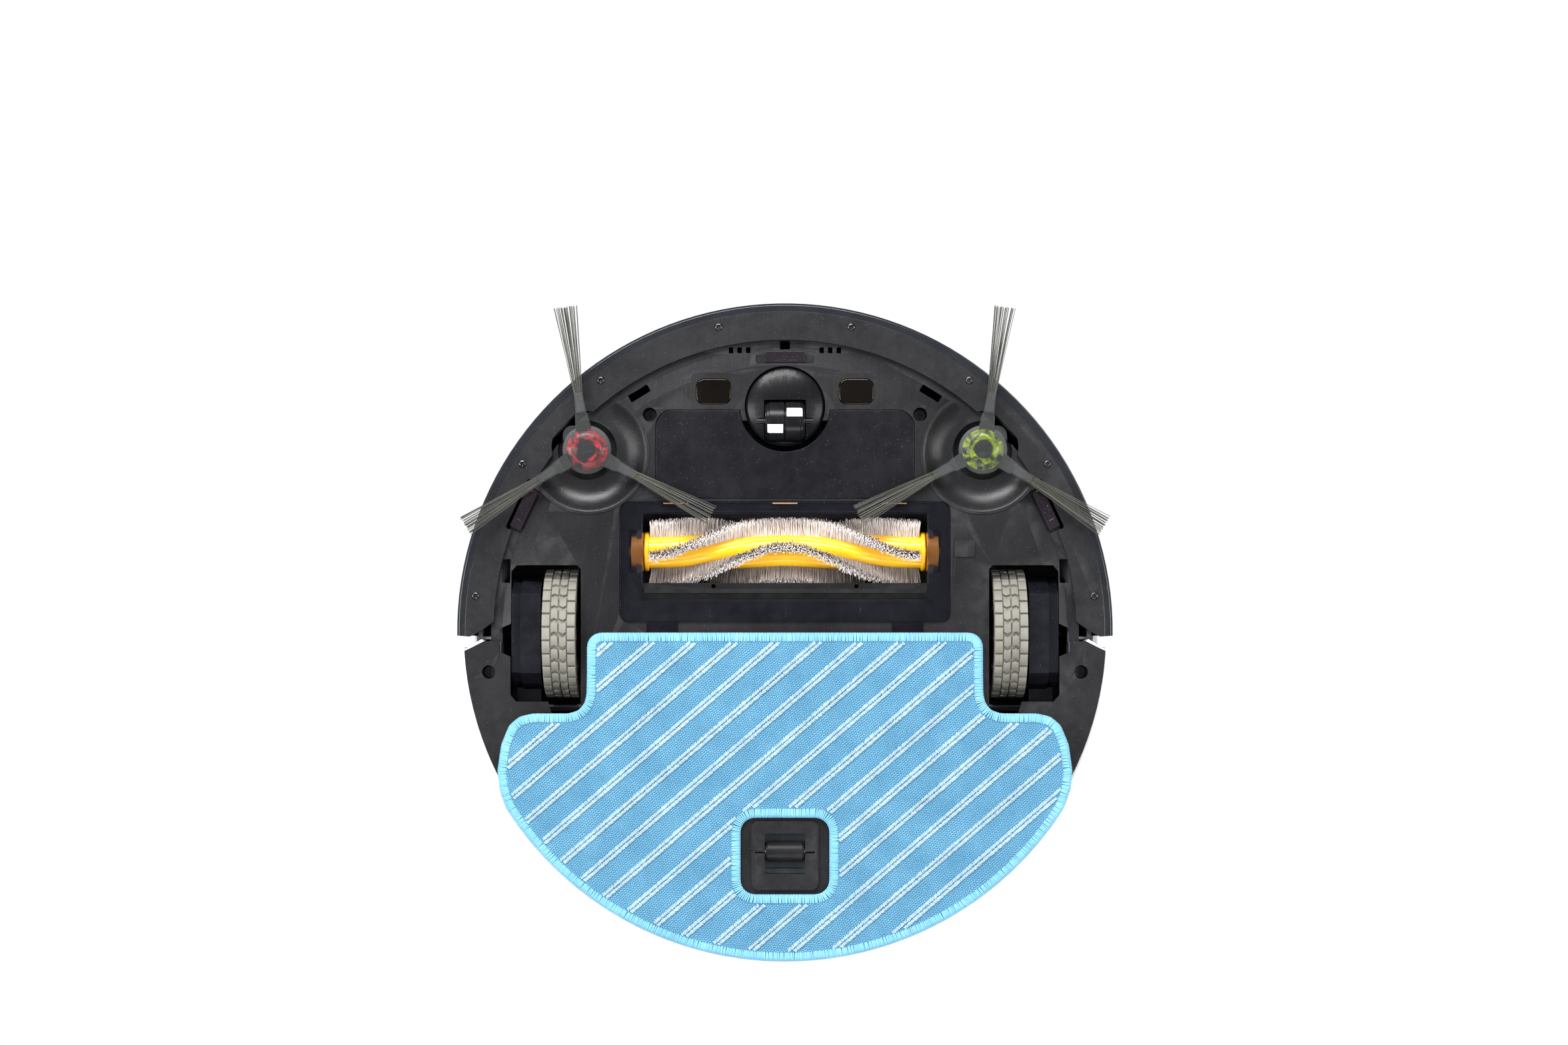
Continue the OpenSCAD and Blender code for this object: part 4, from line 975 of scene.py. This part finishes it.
class VACUUM_OT_cloth(bpy.types.Operator):
    """Knit the mop cloth, its ribs of terry loops and its bound edge"""

    bl_idname = "vacuum.cloth"
    bl_label = "Mop cloth"

    def execute(self, context):
        c = context.scene.cloth_sizes
        low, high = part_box("mop_cloth")
        loops = [smooth_loop(l, OUTLINE_STEP * MM) for l in loops_at("mop_cloth", low.z)]
        cloth = self.sheet(c, loops, low.z)
        ribs = self.ribs(c, loops, low.z)
        edge = self.edge(c, loops, low.z)
        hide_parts("mop_cloth")
        return {"FINISHED"}

    def sheet(self, c, loops, floor):
        """The cloth itself: a face down, a rolled edge and a back."""
        rings = [[inset(l, d * MM) for l in loops] for d, _ in CLOTH_SECTION]
        verts, faces, start = [], [], []
        for (_, height), ring in zip(CLOTH_SECTION, rings):
            start.append([])
            for loop in ring:
                start[-1].append(len(verts))
                verts += [(x, y, floor + height * MM) for x, y in loop]
        for lower, upper in zip(start, start[1:]):
            for a, b, loop in zip(lower, upper, loops):
                faces += strip(a, b, len(loop))
        for level, step in ((0, FACE_STEP), (len(CLOTH_SECTION) - 1, BACK_STEP)):
            ring, (distance, height) = rings[level], CLOTH_SECTION[level]
            fenced = [inset(l, (distance + step * 0.55) * MM) for l in loops]
            grid = self.grid(c, fenced, step * MM)
            numbers = [n for s, loop in zip(start[level], ring) for n in range(s, s + len(loop))]
            numbers += range(len(verts), len(verts) + len(grid))
            for x, y in grid:
                swell = noise.noise(Vector((x * 42, y * 42, 3.0 + level))) * 0.16
                verts.append((x, y, floor + (height + (swell if level == 0 else 0)) * MM))
            borders, at = [], 0
            for loop in ring:
                borders += closed(at, len(loop))
                at += len(loop)
            flat = [Vector(p) for p in np.concatenate([*ring, grid])]
            points, _, filled, origin = delaunay_2d_cdt(flat, borders, [], 0, 1e-8)[:4]
            triangles = [t for t in filled if len(t) == 3]
            middle = np.array([[points[i] for i in t] for t in triangles]).mean(1)
            for t, keep in zip(triangles, inside(middle, ring)):
                if keep:
                    faces.append(tuple(numbers[origin[i][0]] for i in t))
        mesh = mesh_of(verts, faces, 75)
        return show("mop_cloth_knit", mesh, finish_of("cloth_blue"), "mop_module")

    def grid(self, c, loops, spacing):
        """Staggered points that run with the ribs and lie inside the loops."""
        along, across = self.directions(c)
        steps = np.arange(-CLOTH_REACH, CLOTH_REACH, spacing)
        u, v = np.meshgrid(steps, steps)
        v = v + (np.arange(len(steps)) % 2)[None, :] * spacing / 2
        points = u.reshape(-1, 1) * along + v.reshape(-1, 1) * across + CLOTH_MIDDLE
        return points[inside(points, loops)]

    def directions(self, c):
        """Along the ribs and across them."""
        cosine, sine = math.cos(c.angle), math.sin(c.angle)
        return np.array([-cosine, sine]), np.array([sine, cosine])

    def ribs(self, c, loops, floor):
        """Two rows of terry loops on every rib."""
        along, across = self.directions(c)
        fenced = [inset(l, c.border + 0.5 * MM) for l in loops]
        rng = random.Random(4)
        rows = []
        gap = c.spacing * math.sin(c.angle)
        for rib in range(-RIBS_EACH_WAY, RIBS_EACH_WAY + 1):
            for row in (-1, 1):
                line = RIB_MIDDLE + across * (rib * gap + row * ROW_APART * MM)
                t = np.arange(-RIB_REACH, RIB_REACH, c.pitch) + (row > 0) * c.pitch * 0.45
                points = line + t[:, None] * along
                for x, y in points[inside(points, fenced)]:
                    x += rng.uniform(-1, 1) * LOOP_STRAY * MM
                    y += rng.uniform(-1, 1) * LOOP_STRAY * MM
                    heading = math.pi - c.angle + (row * 0.3 + rng.uniform(-0.25, 0.25))
                    turn = (rng.uniform(-0.12, 0.12), rng.uniform(-0.12, 0.12), heading)
                    span = rng.uniform(0.84, 1.1)
                    rows.append(((x, y, floor + LOOP_HEIGHT * MM), turn, span, rng.random() * 0.5))
        terry = cloth_material("Terry loops", c.rib, [v * 0.6 for v in c.rib], knit=False)
        mesh = grown("copies", points_mesh(rows), terry, mesh_of(*puff(0.66, 1.28, 0.62, 5)), Jitter=0.05)
        return show("mop_cloth_ribs", mesh, None, "mop_module")

    def edge(self, c, loops, floor):
        """Threads sewn round the outline and round the roller's opening."""
        verts, edges = [], []
        for loop in loops:
            edges += closed(len(verts), len(loop))
            verts += [(x, y, floor) for x, y in loop]
        line = bpy.data.meshes.new("edge")
        line.from_pydata(verts, edges, [])
        w = c.border
        path = [
            (w, 1.05 * MM, 0.5), (w * 0.88, 0.6 * MM, 1.0), (w * 0.45, 0.42 * MM, 1.05),
            (w * 0.12, 0.55 * MM, 1.0), (-0.25 * MM, 1.3 * MM, 0.95), (-0.2 * MM, 2.2 * MM, 0.9),
            (0.7 * MM, 2.75 * MM, 0.5),
        ]
        light = [0.85 * a + 0.15 * b for a, b in zip(c.colour, c.rib)]
        thread = cloth_material("Edge thread", light, c.colour, knit=False)
        shape = mesh_of(*tube(path, 0.42 * MM, 5))
        mesh = grown("stitches", line, thread, shape, Pitch=c.stitch, Jitter=0.08)
        return show("mop_cloth_bound_edge", mesh, None, "mop_module")


def puff(rx, ry, rz, across, down=4):
    """A small plump shape of a few faces, half sizes in millimetres."""
    verts, faces = [(0, 0, rz * MM), (0, 0, -rz * MM)], []
    for i in range(1, down):
        t = math.pi * i / down
        wide, high = math.sin(t), math.cos(t)
        for k in range(across):
            p = 2 * math.pi * k / across
            verts.append((rx * MM * wide * math.cos(p), ry * MM * wide * math.sin(p), rz * MM * high))
    last = 2 + (down - 2) * across
    for k in range(across):
        j = (k + 1) % across
        faces += [(0, 2 + k, 2 + j), (1, last + j, last + k)]
        for a in range(2, last, across):
            faces.append((a + k, a + across + k, a + across + j, a + j))
    return verts, faces


# The main brush. Angles in degrees from straight down towards the front, lengths in millimetres.
BRUSH_ROWS, FIRST_ROW, ROW_STEP = 5, -9, 72
CORE_ROOT, TUFT_ROOT = 9.3, 8.7
JOURNAL = 3.0
COLLAR = ((-74.9, JOURNAL), (-74.9, 10.2), (-74.6, 10.5), (-73.0, 10.5), (-72.7, 10.2))
FLUTED, CORE_STATIONS, CORE_SIDES = 72.6, 180, 130
FIBRES_ACROSS, ROW_WIDTH = 9, 2.1


def row_angle(x, half, row):
    """Angle of a bristle row at a place along the main brush, from straight down towards the front."""
    t = max(0.0, min(1.0, 1 - abs(x) / half))
    turn = settings("bristle_sizes").twist * t * t * (3 - 2 * t)
    return math.radians(FIRST_ROW + ROW_STEP * row) + turn


class VACUUM_OT_main_brush(bpy.types.Operator):
    """Mould the main brush's core and plant its rows of tufts"""

    bl_idname = "vacuum.main_brush"
    bl_label = "Main brush"

    def execute(self, context):
        lo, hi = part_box("main_brush_core")
        tuft_lo, tuft_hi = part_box("main_brush_bristles")
        self.y, self.z = (lo.y + hi.y) / 2, (lo.z + hi.z) / 2
        self.half = tuft_hi.x
        self.reach = (tuft_hi.z - tuft_lo.z) / 2
        self.core(hi.x)
        self.tufts(context.scene.bristle_sizes)
        return {"FINISHED"}

    def core(self, end):
        """The core: journals and collars at its ends, flutes with a groove between the rows."""
        across, round_ = CORE_STATIONS, CORE_SIDES
        ends = [(-end, 0.0), (-end, JOURNAL * MM)] + [(x * MM, r * MM) for x, r in COLLAR]
        stations = ends + [(x, None) for x in np.linspace(-FLUTED, FLUTED, across) * MM]
        stations += [(-x, r) for x, r in reversed(ends)]
        verts = []
        for x, fixed in stations:
            for k in range(round_):
                t = 2 * math.pi * k / round_
                r = self.fluted(x, t) if fixed is None else fixed
                verts.append((x, self.y + r * math.sin(t), self.z - r * math.cos(t)))
        mesh = mesh_of(verts, stack(len(stations), round_), 50)
        yellow = finish_of("core_yellow")
        piece = show("main_brush_core_moulding", mesh, yellow, "main_brush")
        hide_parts("main_brush_core")

    def fluted(self, x, t):
        """Radius of the core at a place along it and an angle round it."""
        phase = (t - row_angle(x, self.half, 0)) / math.radians(ROW_STEP) % 1.0
        between = min(phase, 1 - phase) * 2
        bulge = math.sin(math.pi * min(1.0, between * 1.15) / 2) ** 0.8
        groove = math.exp(-(((phase - 0.56) / 0.035) ** 2))
        return CORE_ROOT * MM + (bulge * 0.75 - groove * 0.5 - 0.45) * MM

    def tufts(self, b):
        """Rows of pale fibres with stiffer brown ones along their front."""
        rng = random.Random(12)
        rows = {"pale": [], "brown": []}
        root = TUFT_ROOT * MM
        for row in range(BRUSH_ROWS):
            for x in np.arange(-self.half + 0.6 * MM, self.half - 0.4 * MM, b.step):
                angle = row_angle(x, self.half, row)
                for k in range(FIBRES_ACROSS):
                    offset = (k / (FIBRES_ACROSS - 1) - 0.5) * ROW_WIDTH
                    kind = "brown" if offset > 0.5 else "pale"
                    offset += rng.uniform(-0.2, 0.2)
                    a = angle + offset * MM / root
                    px = x + rng.uniform(-0.5, 0.5) * b.step
                    place = (px, self.y + root * math.sin(a), self.z - root * math.cos(a))
                    turn = (math.pi + a + math.radians(offset * 4) * 0.4, 0.0, 0.0)
                    span = self.reach - root - rng.uniform(0.0, 1.1) * MM
                    rows[kind].append((place, turn, span, rng.random()))
        brown = fibre_material("Brown tufts", b.brown, 0.6, Sheen_Weight=0.2)
        for kind, material in (("pale", finish_of("bristle_pale")), ("brown", brown)):
            mesh = grown(
                "bristles", points_mesh(rows[kind]), material, Strand_radius=0.23 * MM, Bend=0.6 * MM,
                Lean_spread=0.09, Spin=math.pi, Length_spread=0.06, Steps=2, Taper=0.75, Seed=7,
            )
            show(f"main_brush_tufts_{kind}", mesh, material, "main_brush")
        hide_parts("main_brush_bristles")


# The side brushes: the arms' directions in degrees, then how far out, how high and how wide each
# way the strands are at their roots and at their tips, in millimetres.
ARMS = (82, -33, -152)
ROOT_OUT, ROOT_HEIGHT, ROOT_HALF = 26, 7.6, 1.75
TIP_OUT, TIP_HEIGHT, TIP_HALF = 75.6, 1.9, 5.6
LAYER = 0.9


class VACUUM_OT_side_brushes(bpy.types.Operator):
    """Set the fanned nylon strands in the side brushes"""

    bl_idname = "vacuum.side_brushes"
    bl_label = "Side brushes"

    def execute(self, context):
        b = context.scene.bristle_sizes
        nylon = finish_of("side_bristle")
        for side, sign in (("right", 1), ("left", -1)):
            hub_lo, hub_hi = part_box("side_brush_coupler_" + side)
            centre = (hub_lo + hub_hi) / 2
            rng = random.Random(31)
            rows = []
            for degrees in ARMS:
                arm = math.radians(degrees)
                out = Vector((math.cos(arm) * sign, math.sin(arm), 0))
                wide = Vector((-math.sin(arm) * sign, math.cos(arm), 0))
                for k in range(b.strands):
                    share = (k + 0.5) / b.strands * 2 - 1
                    layer = rng.uniform(-1, 1)
                    share = share + rng.uniform(-0.06, 0.06)
                    root = centre + out * ROOT_OUT * MM + wide * share * ROOT_HALF * MM
                    root.z = (ROOT_HEIGHT + layer * LAYER) * MM
                    reach = TIP_OUT - rng.uniform(0, 0.9)
                    tip = centre + out * reach * MM + wide * share * TIP_HALF * MM
                    tip.z = (TIP_HEIGHT + layer * LAYER) * MM
                    way = tip - root
                    turn = tuple(way.to_track_quat("Z", "Y").to_euler())
                    rows.append((root, turn, way.length, rng.random()))
            mesh = grown(
                "bristles", points_mesh(rows), nylon, Strand_radius=0.17 * MM, Bend=0.6 * MM,
                Lean_spread=0.012, Spin=0.6, Length_spread=0.004, Steps=7, Taper=0.85, Seed=9,
            )
            piece = show("side_brush_strands_" + side, mesh, nylon, "side_brush_" + side)
            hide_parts("side_brush_bristles_" + side)
        return {"FINISHED"}


# The tyre: sides of its carcass, pitches of blocks round it, and each block's levels from its foot
# to its worn top: how far below the tread and how far in from the block's outline, in millimetres.
BAND_SIDES, BLOCKS_ROUND = 144, 30
BLOCK_LEVELS = ((1.7, 0.0), (0.45, 0.0), (0.1, 0.16), (0.0, 0.42))


class VACUUM_OT_tyres(bpy.types.Operator):
    """Mould the drive tyres with their tread blocks"""

    bl_idname = "vacuum.tyres"
    bl_label = "Drive tyres"

    def execute(self, context):
        for side, sign in (("right", 1), ("left", -1)):
            node = "drive_tyre_" + side
            lo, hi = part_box(node)
            centre = (lo + hi) / 2
            radius, half = (hi.z - lo.z) / 2, (hi.x - lo.x) / 2
            rubber, body = finish_of("tyre_grey"), "wheel_" + side
            band = self.band(centre, radius, half)
            tread = self.tread(centre, radius, half / MM, sign)
            piece = show(node + "_band", band, rubber, body)
            show(node + "_tread", tread, rubber, body)
            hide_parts(node)
        return {"FINISHED"}

    def band(self, centre, radius, w):
        """The carcass of the tyre under the blocks."""
        base = radius - 1.5 * MM
        inner = radius - 6 * MM
        near = [
            (-w + 0.3 * MM, inner), (-w, inner + 0.4 * MM), (-w, base - 1.0 * MM),
            (-w + 0.3 * MM, base - 0.3 * MM), (-w + 1.0 * MM, base),
        ]
        profile = near + [(-x, r) for x, r in reversed(near)]
        round_, n = BAND_SIDES, len(profile)
        verts, faces = [], []
        for k in range(round_):
            t = 2 * math.pi * k / round_
            ahead, down = math.sin(t), math.cos(t)
            verts += [(centre.x + x, centre.y + r * ahead, centre.z - r * down) for x, r in profile]
            faces += strip(k * n, (k + 1) % round_ * n, n)
        return mesh_of(verts, faces, 50)

    def tread(self, centre, radius, w, sign):
        """One pitch of blocks, copied round the wheel: a shoulder block each side and two chevrons."""
        p = 2 * math.pi * radius / BLOCKS_ROUND / MM / 2
        low, high = -p + 0.4, p - 0.5
        columns = [
            [(-w + 0.1, low), (-w * 0.51, low), (-w * 0.51, high), (-w + 0.1, high)],
            [(w * 0.51, low), (w - 0.1, low), (w - 0.1, high), (w * 0.51, high)],
            [(-w * 0.46, 0.75), (-w * 0.26, -0.15), (-0.35, 0.75),
             (-0.35, 2 * p - 1.15), (-w * 0.26, 2 * p - 1.95), (-w * 0.46, 2 * p - 1.15)],
            [(0.35, 0.2), (w * 0.26, 1.0), (w * 0.46, 0.2),
             (w * 0.46, 2 * p - 1.7), (w * 0.26, 2 * p - 0.8), (0.35, 2 * p - 1.7)],
        ]
        verts, faces = [], []
        for outline in columns:
            middle = np.mean(outline, 0)
            start, n = len(verts), len(outline)
            for down, back in BLOCK_LEVELS:
                r = radius - down * MM
                for corner in outline:
                    away = np.array(corner) - middle
                    x, s = (middle + away * (1 - back / np.linalg.norm(away))) * MM
                    t = s / radius
                    verts.append((sign * x, r * math.sin(t), -r * math.cos(t)))
            for level in range(len(BLOCK_LEVELS) - 1):
                faces += strip(start + level * n, start + (level + 1) * n, n)
            top = start + (len(BLOCK_LEVELS) - 1) * n
            faces += [tuple(range(start, start + n)), tuple(range(top, top + n))]
        angles = [2 * math.pi * k / BLOCKS_ROUND for k in range(BLOCKS_ROUND)]
        rows = [(centre, (angle, 0.0, 0.0), 1.0, 0.0) for angle in angles]
        mesh = grown("copies", points_mesh(rows), finish_of("tyre_grey"), mesh_of(verts, faces, 30))
        soften(mesh, 35)
        return mesh


# A screw's head and shank: radii, and heights above the lowest level of the CAD screws, in
# millimetres. The rings in HEAD_CROSS follow the cross, and heads stand further apart than HEAD_APART.
HEAD_RINGS = (
    (0.0, 0.95), (0.5, 0.95), (0.78, 0.78), (1.15, 0.12), (1.5, 0.2), (1.9, 0.42),
    (2.15, 0.75), (2.2, 1.0), (1.2, 1.0), (1.2, 3.2), (0.0, 3.2),
)
HEAD_CROSS = (1, 2)
HEAD_APART = 6
# The caster wheel's marks: their ends along its axle in millimetres and round it in degrees from
# straight down, how many faces they have each way, and their levels through the wheel's skin.
MARKS = ((1.0, 9.2, -42, -14), (-9.2, -1.0, 10, 38))
MARK_ACROSS, MARK_ROUND = 9, 8
MARK_LEVELS = (-0.1, 0.05)
# The lid's catches: their ends across the robot, and their section as seen from the side, measured
# from the lid's front edge and its lowest level, in millimetres.
CATCHES = ((51.4, 64.6), (-6.6, 6.6), (-64.6, -51.4))
CATCH_SECTION = ((-1.0, 0.25), (-0.7, 0.12), (-0.35, 0.35), (-0.3, 1.4), (-1.0, 1.4))


class VACUUM_OT_details(bpy.types.Operator):
    """Add the screws, the caster's marks and the lid's catches"""

    bl_idname = "vacuum.details"
    bl_label = "Small details"

    def execute(self, context):
        self.screws()
        self.patches()
        self.tabs()
        return {"FINISHED"}

    def screws(self):
        """Cross-head screws of the bumper, where the CAD screws have their heads."""
        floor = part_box("bumper_screws")[0].z
        heads = []
        for vertex in NODES["bumper_screws"].data.vertices:
            p = vertex.co
            if p.z < floor + 0.05 * MM:
                near = [h for h in heads if (h[0] - p).length < HEAD_APART * MM]
                if near:
                    near[0].append(p.copy())
                else:
                    heads.append([p.copy()])
        rng = random.Random(2)
        rows = []
        for corners in heads:
            xs, ys = [p.x for p in corners], [p.y for p in corners]
            place = ((min(xs) + max(xs)) / 2, (min(ys) + max(ys)) / 2, floor)
            rows.append((place, (0.0, 0.0, rng.uniform(0, math.pi)), 1.0, 0.0))
        steel = finish_of("screw_black")
        mesh = grown("copies", points_mesh(rows), steel, mesh_of(*self.head(), 30))
        soften(mesh, 30)
        piece = show("bumper_screw_heads", mesh, steel, "bumper")
        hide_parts("bumper_screws")

    def head(self):
        """A domed head with a tapered cross, opening downwards from its seat."""
        round_ = 32
        verts = []
        for i, (radius, z) in enumerate(HEAD_RINGS):
            for k in range(round_):
                t = 2 * math.pi * k / round_
                r = radius
                if i in HEAD_CROSS:
                    r = radius * (0.55 + 0.85 * abs(math.cos(2 * t)) ** 3)
                verts.append((r * MM * math.cos(t), r * MM * math.sin(t), z * MM))
        return verts, stack(len(HEAD_RINGS), round_)

    def patches(self):
        """White marks that show the caster turning, laid on its wheel."""
        lo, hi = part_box("caster_wheel")
        centre = (lo + hi) / 2
        wheel = NODES["caster_wheel"].data
        corners = [v.co for v in wheel.vertices]
        skin = BVHTree.FromPolygons(corners, [tuple(f.vertices) for f in wheel.polygons])
        verts, faces = [], []
        across, steps = MARK_ACROSS, MARK_ROUND
        for x0, x1, t0, t1 in MARKS:
            first = len(verts)
            for k in range(steps + 1):
                t = math.radians(t0 + (t1 - t0) * k / steps)
                out = Vector((0, math.sin(t), -math.cos(t)))
                for i in range(across + 1):
                    foot = centre + Vector(((x0 + (x1 - x0) * i / across) * MM, 0, 0))
                    hit = skin.ray_cast(foot + out * 0.02, -out)[0]
                    verts += [hit + out * lift * MM for lift in MARK_LEVELS]
            row = (across + 1) * 2
            for k in range(steps):
                for i in range(across):
                    a = first + k * row + i * 2
                    for layer in (0, 1):
                        faces.append(tuple(a + layer + n for n in (0, 2, row + 2, row)))
            outline = [(k, 0) for k in range(steps)] + [(steps, i) for i in range(across)]
            outline += [(k, across) for k in range(steps, 0, -1)] + [(0, i) for i in range(across, 0, -1)]
            for (k, i), (m, n) in zip(outline, outline[1:] + outline[:1]):
                a, b = first + k * row + i * 2, first + m * row + n * 2
                faces.append((a, a + 1, b + 1, b))
        white = moulded("Caster mark", (0.85, 0.86, 0.88), 0.4, 0.55, 900.0, 0.1)
        show("caster_marks", mesh_of(verts, faces, 30), white, "caster_roll")

    def tabs(self):
        """Copper-coloured catches along the lid's front edge."""
        lo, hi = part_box("brush_cover")
        n = len(CATCH_SECTION)
        verts, faces = [], []
        for ends in CATCHES:
            first = len(verts)
            verts += [(x * MM, hi.y + y * MM, lo.z + z * MM) for x in ends for y, z in CATCH_SECTION]
            faces += [tuple(range(first, first + n)), tuple(range(first + n, first + 2 * n))]
            faces += strip(first, first + n, n)
        copper = moulded("Copper catch", (0.3, 0.15, 0.08), 0.25, 0.4, 1500.0, 0.1)
        show("brush_lid_catches", mesh_of(verts, faces, 20), copper, "brush_lid")


# ---- stage -----------------------------------------------------------------------------------

# The softboxes: where each stands, how wide and high it is, the setting its power comes from and
# the share of it, or a power of its own.
SOFTBOXES = {
    "key_softbox": ((0.2, 1.15, -1.0), (1.2, 0.5), "key", 1.0),
    "left_softbox": ((1.25, 0.05, -1.0), (0.5, 1.2), "side", 1.0),
    "right_softbox": ((-1.25, 0.05, -1.0), (0.5, 1.2), "side", 0.8),
    "low_fill": ((0.0, -1.2, -1.0), (1.2, 0.5), "side", 0.6),
    "top_softbox": ((0.5, -0.7, 1.6), (1.2, 1.2), None, 15),
    "top_fill": ((-1.2, 0.9, 1.3), (1.2, 1.2), None, 7),
}
AIM = Vector((0, 0, 0.04))
# The camera looks straight up from below, with its sensor's width in millimetres and its shift as a
# share of that width.
CAMERA_X, CAMERA_FLOOR = 0.0005, 0.01
SENSOR, CAMERA_SHIFT = 36, 163 / 2353
class VACUUM_OT_stage(bpy.types.Operator):
    """Set the floor, the softboxes and the camera under the robot"""

    bl_idname = "vacuum.stage"
    bl_label = "Stage"

    def execute(self, context):
        s = context.scene.stage_settings
        scene = context.scene
        scene.view_settings.view_transform = "Standard"
        self.floor()
        self.world(scene, s)
        for name, (place, size, source, power) in SOFTBOXES.items():
            self.softbox(name, Vector(place), size, getattr(s, source) * power if source else power)
        eye = bpy.data.cameras.new("camera")
        eye.lens = s.lens
        eye.sensor_width = SENSOR
        eye.shift_y = CAMERA_SHIFT
        eye.clip_end = 50
        camera = placed("camera", eye)
        camera.location = (CAMERA_X, 0.0, CAMERA_FLOOR - s.distance)
        camera.rotation_euler = (0.0, math.pi, 0.0)
        scene.camera = camera
        return {"FINISHED"}

    def softbox(self, name, place, size, power):
        lamp = bpy.data.lights.new(name, "AREA")
        lamp.shape = "RECTANGLE"
        lamp.size, lamp.size_y = size
        lamp.energy = power
        box = placed(name, lamp)
        box.location = place
        box.rotation_euler = (AIM - place).to_track_quat("-Z", "Y").to_euler()
        box.visible_camera = False

    def world(self, scene, s):
        world = bpy.data.worlds.new("surround")
        scene.world = world
        world.use_nodes = True
        tree = world.node_tree
        tree.nodes.clear()
        seen = put(tree, "ShaderNodeBackground", {"Color": (1.0, 1.0, 1.0, 1.0), "Strength": 1.0})
        light = put(tree, "ShaderNodeBackground", {"Color": (0.93, 0.96, 1.0, 1.0), "Strength": s.sky})
        ray = put(tree, "ShaderNodeLightPath").outputs["Is Camera Ray"]
        both = put(tree, "ShaderNodeMixShader", {0: ray, 1: light.outputs[0], 2: seen.outputs[0]})
        put(tree, "ShaderNodeOutputWorld", {"Surface": both.outputs[0]})

    def floor(self):
        """A pale floor that shows from above only, so that the underside can be seen and lit."""
        material, tree, shader = blank("Floor", {"Roughness": 0.7})
        tint = mixed(tree, speckle(tree, 3.0), (0.8, 0.8, 0.8, 1.0), (0.84, 0.84, 0.84, 1.0))
        tree.links.new(tint, shader.inputs["Base Color"])
        ray = put(tree, "ShaderNodeLightPath").outputs["Is Camera Ray"]
        front = maths(tree, "SUBTRACT", 1.0, put(tree, "ShaderNodeNewGeometry").outputs["Backfacing"])
        shown = maths(tree, "MULTIPLY", ray, front)
        nothing = put(tree, "ShaderNodeBsdfTransparent")
        both = put(tree, "ShaderNodeMixShader", {0: shown, 1: nothing.outputs[0], 2: shader.outputs[0]})
        tree.links.new(both.outputs[0], tree.nodes["Material Output"].inputs["Surface"])
        mesh = bpy.data.meshes.new("floor")
        z = CAD_BOX[0].z - 0.3 * MM
        mesh.from_pydata([(-4, -4, z), (4, -4, z), (4, 4, z), (-4, 4, z)], [], [(0, 1, 2, 3)])
        mesh.materials.append(material)
        placed("floor", mesh)


class VACUUM_PT_sidebar(bpy.types.Panel):
    """Every piece of the robot vacuum"""

    bl_label = "Robot vacuum"
    bl_idname = "VACUUM_PT_sidebar"
    bl_space_type = "VIEW_3D"
    bl_region_type = "UI"
    bl_category = "Robot vacuum"

    def draw(self, context):
        for name in ("vacuum_finishes", "cloth_sizes", "bristle_sizes", "stage_settings"):
            box = self.layout.box()
            owner = getattr(context.scene, name)
            for prop in owner.__annotations__:
                box.prop(owner, prop)
        for operator in OPERATORS:
            self.layout.operator(operator.bl_idname)


GROUPS = {
    "vacuum_finishes": VacuumFinishes, "cloth_sizes": ClothSizes, "bristle_sizes": BristleSizes,
    "stage_settings": StageSettings,
}
OPERATORS = (
    VACUUM_OT_finishes, VACUUM_OT_housings, VACUUM_OT_cloth, VACUUM_OT_main_brush, VACUUM_OT_side_brushes,
    VACUUM_OT_tyres, VACUUM_OT_details, VACUUM_OT_stage,
)


def register():
    for cls in (*GROUPS.values(), *OPERATORS, VACUUM_PT_sidebar):
        bpy.utils.register_class(cls)
    for name, cls in GROUPS.items():
        setattr(bpy.types.Scene, name, bpy.props.PointerProperty(type=cls))


def unregister():
    for name in GROUPS:
        delattr(bpy.types.Scene, name)
    for cls in reversed((*GROUPS.values(), *OPERATORS, VACUUM_PT_sidebar)):
        bpy.utils.unregister_class(cls)


def main():
    register()
    bpy.ops.vacuum.finishes()
    bpy.ops.vacuum.housings()
    bpy.ops.vacuum.cloth()
    bpy.ops.vacuum.main_brush()
    bpy.ops.vacuum.side_brushes()
    bpy.ops.vacuum.tyres()
    bpy.ops.vacuum.details()
    bpy.ops.vacuum.stage()
    bpy.context.view_layer.update()


if __name__ == "__main__":
    main()
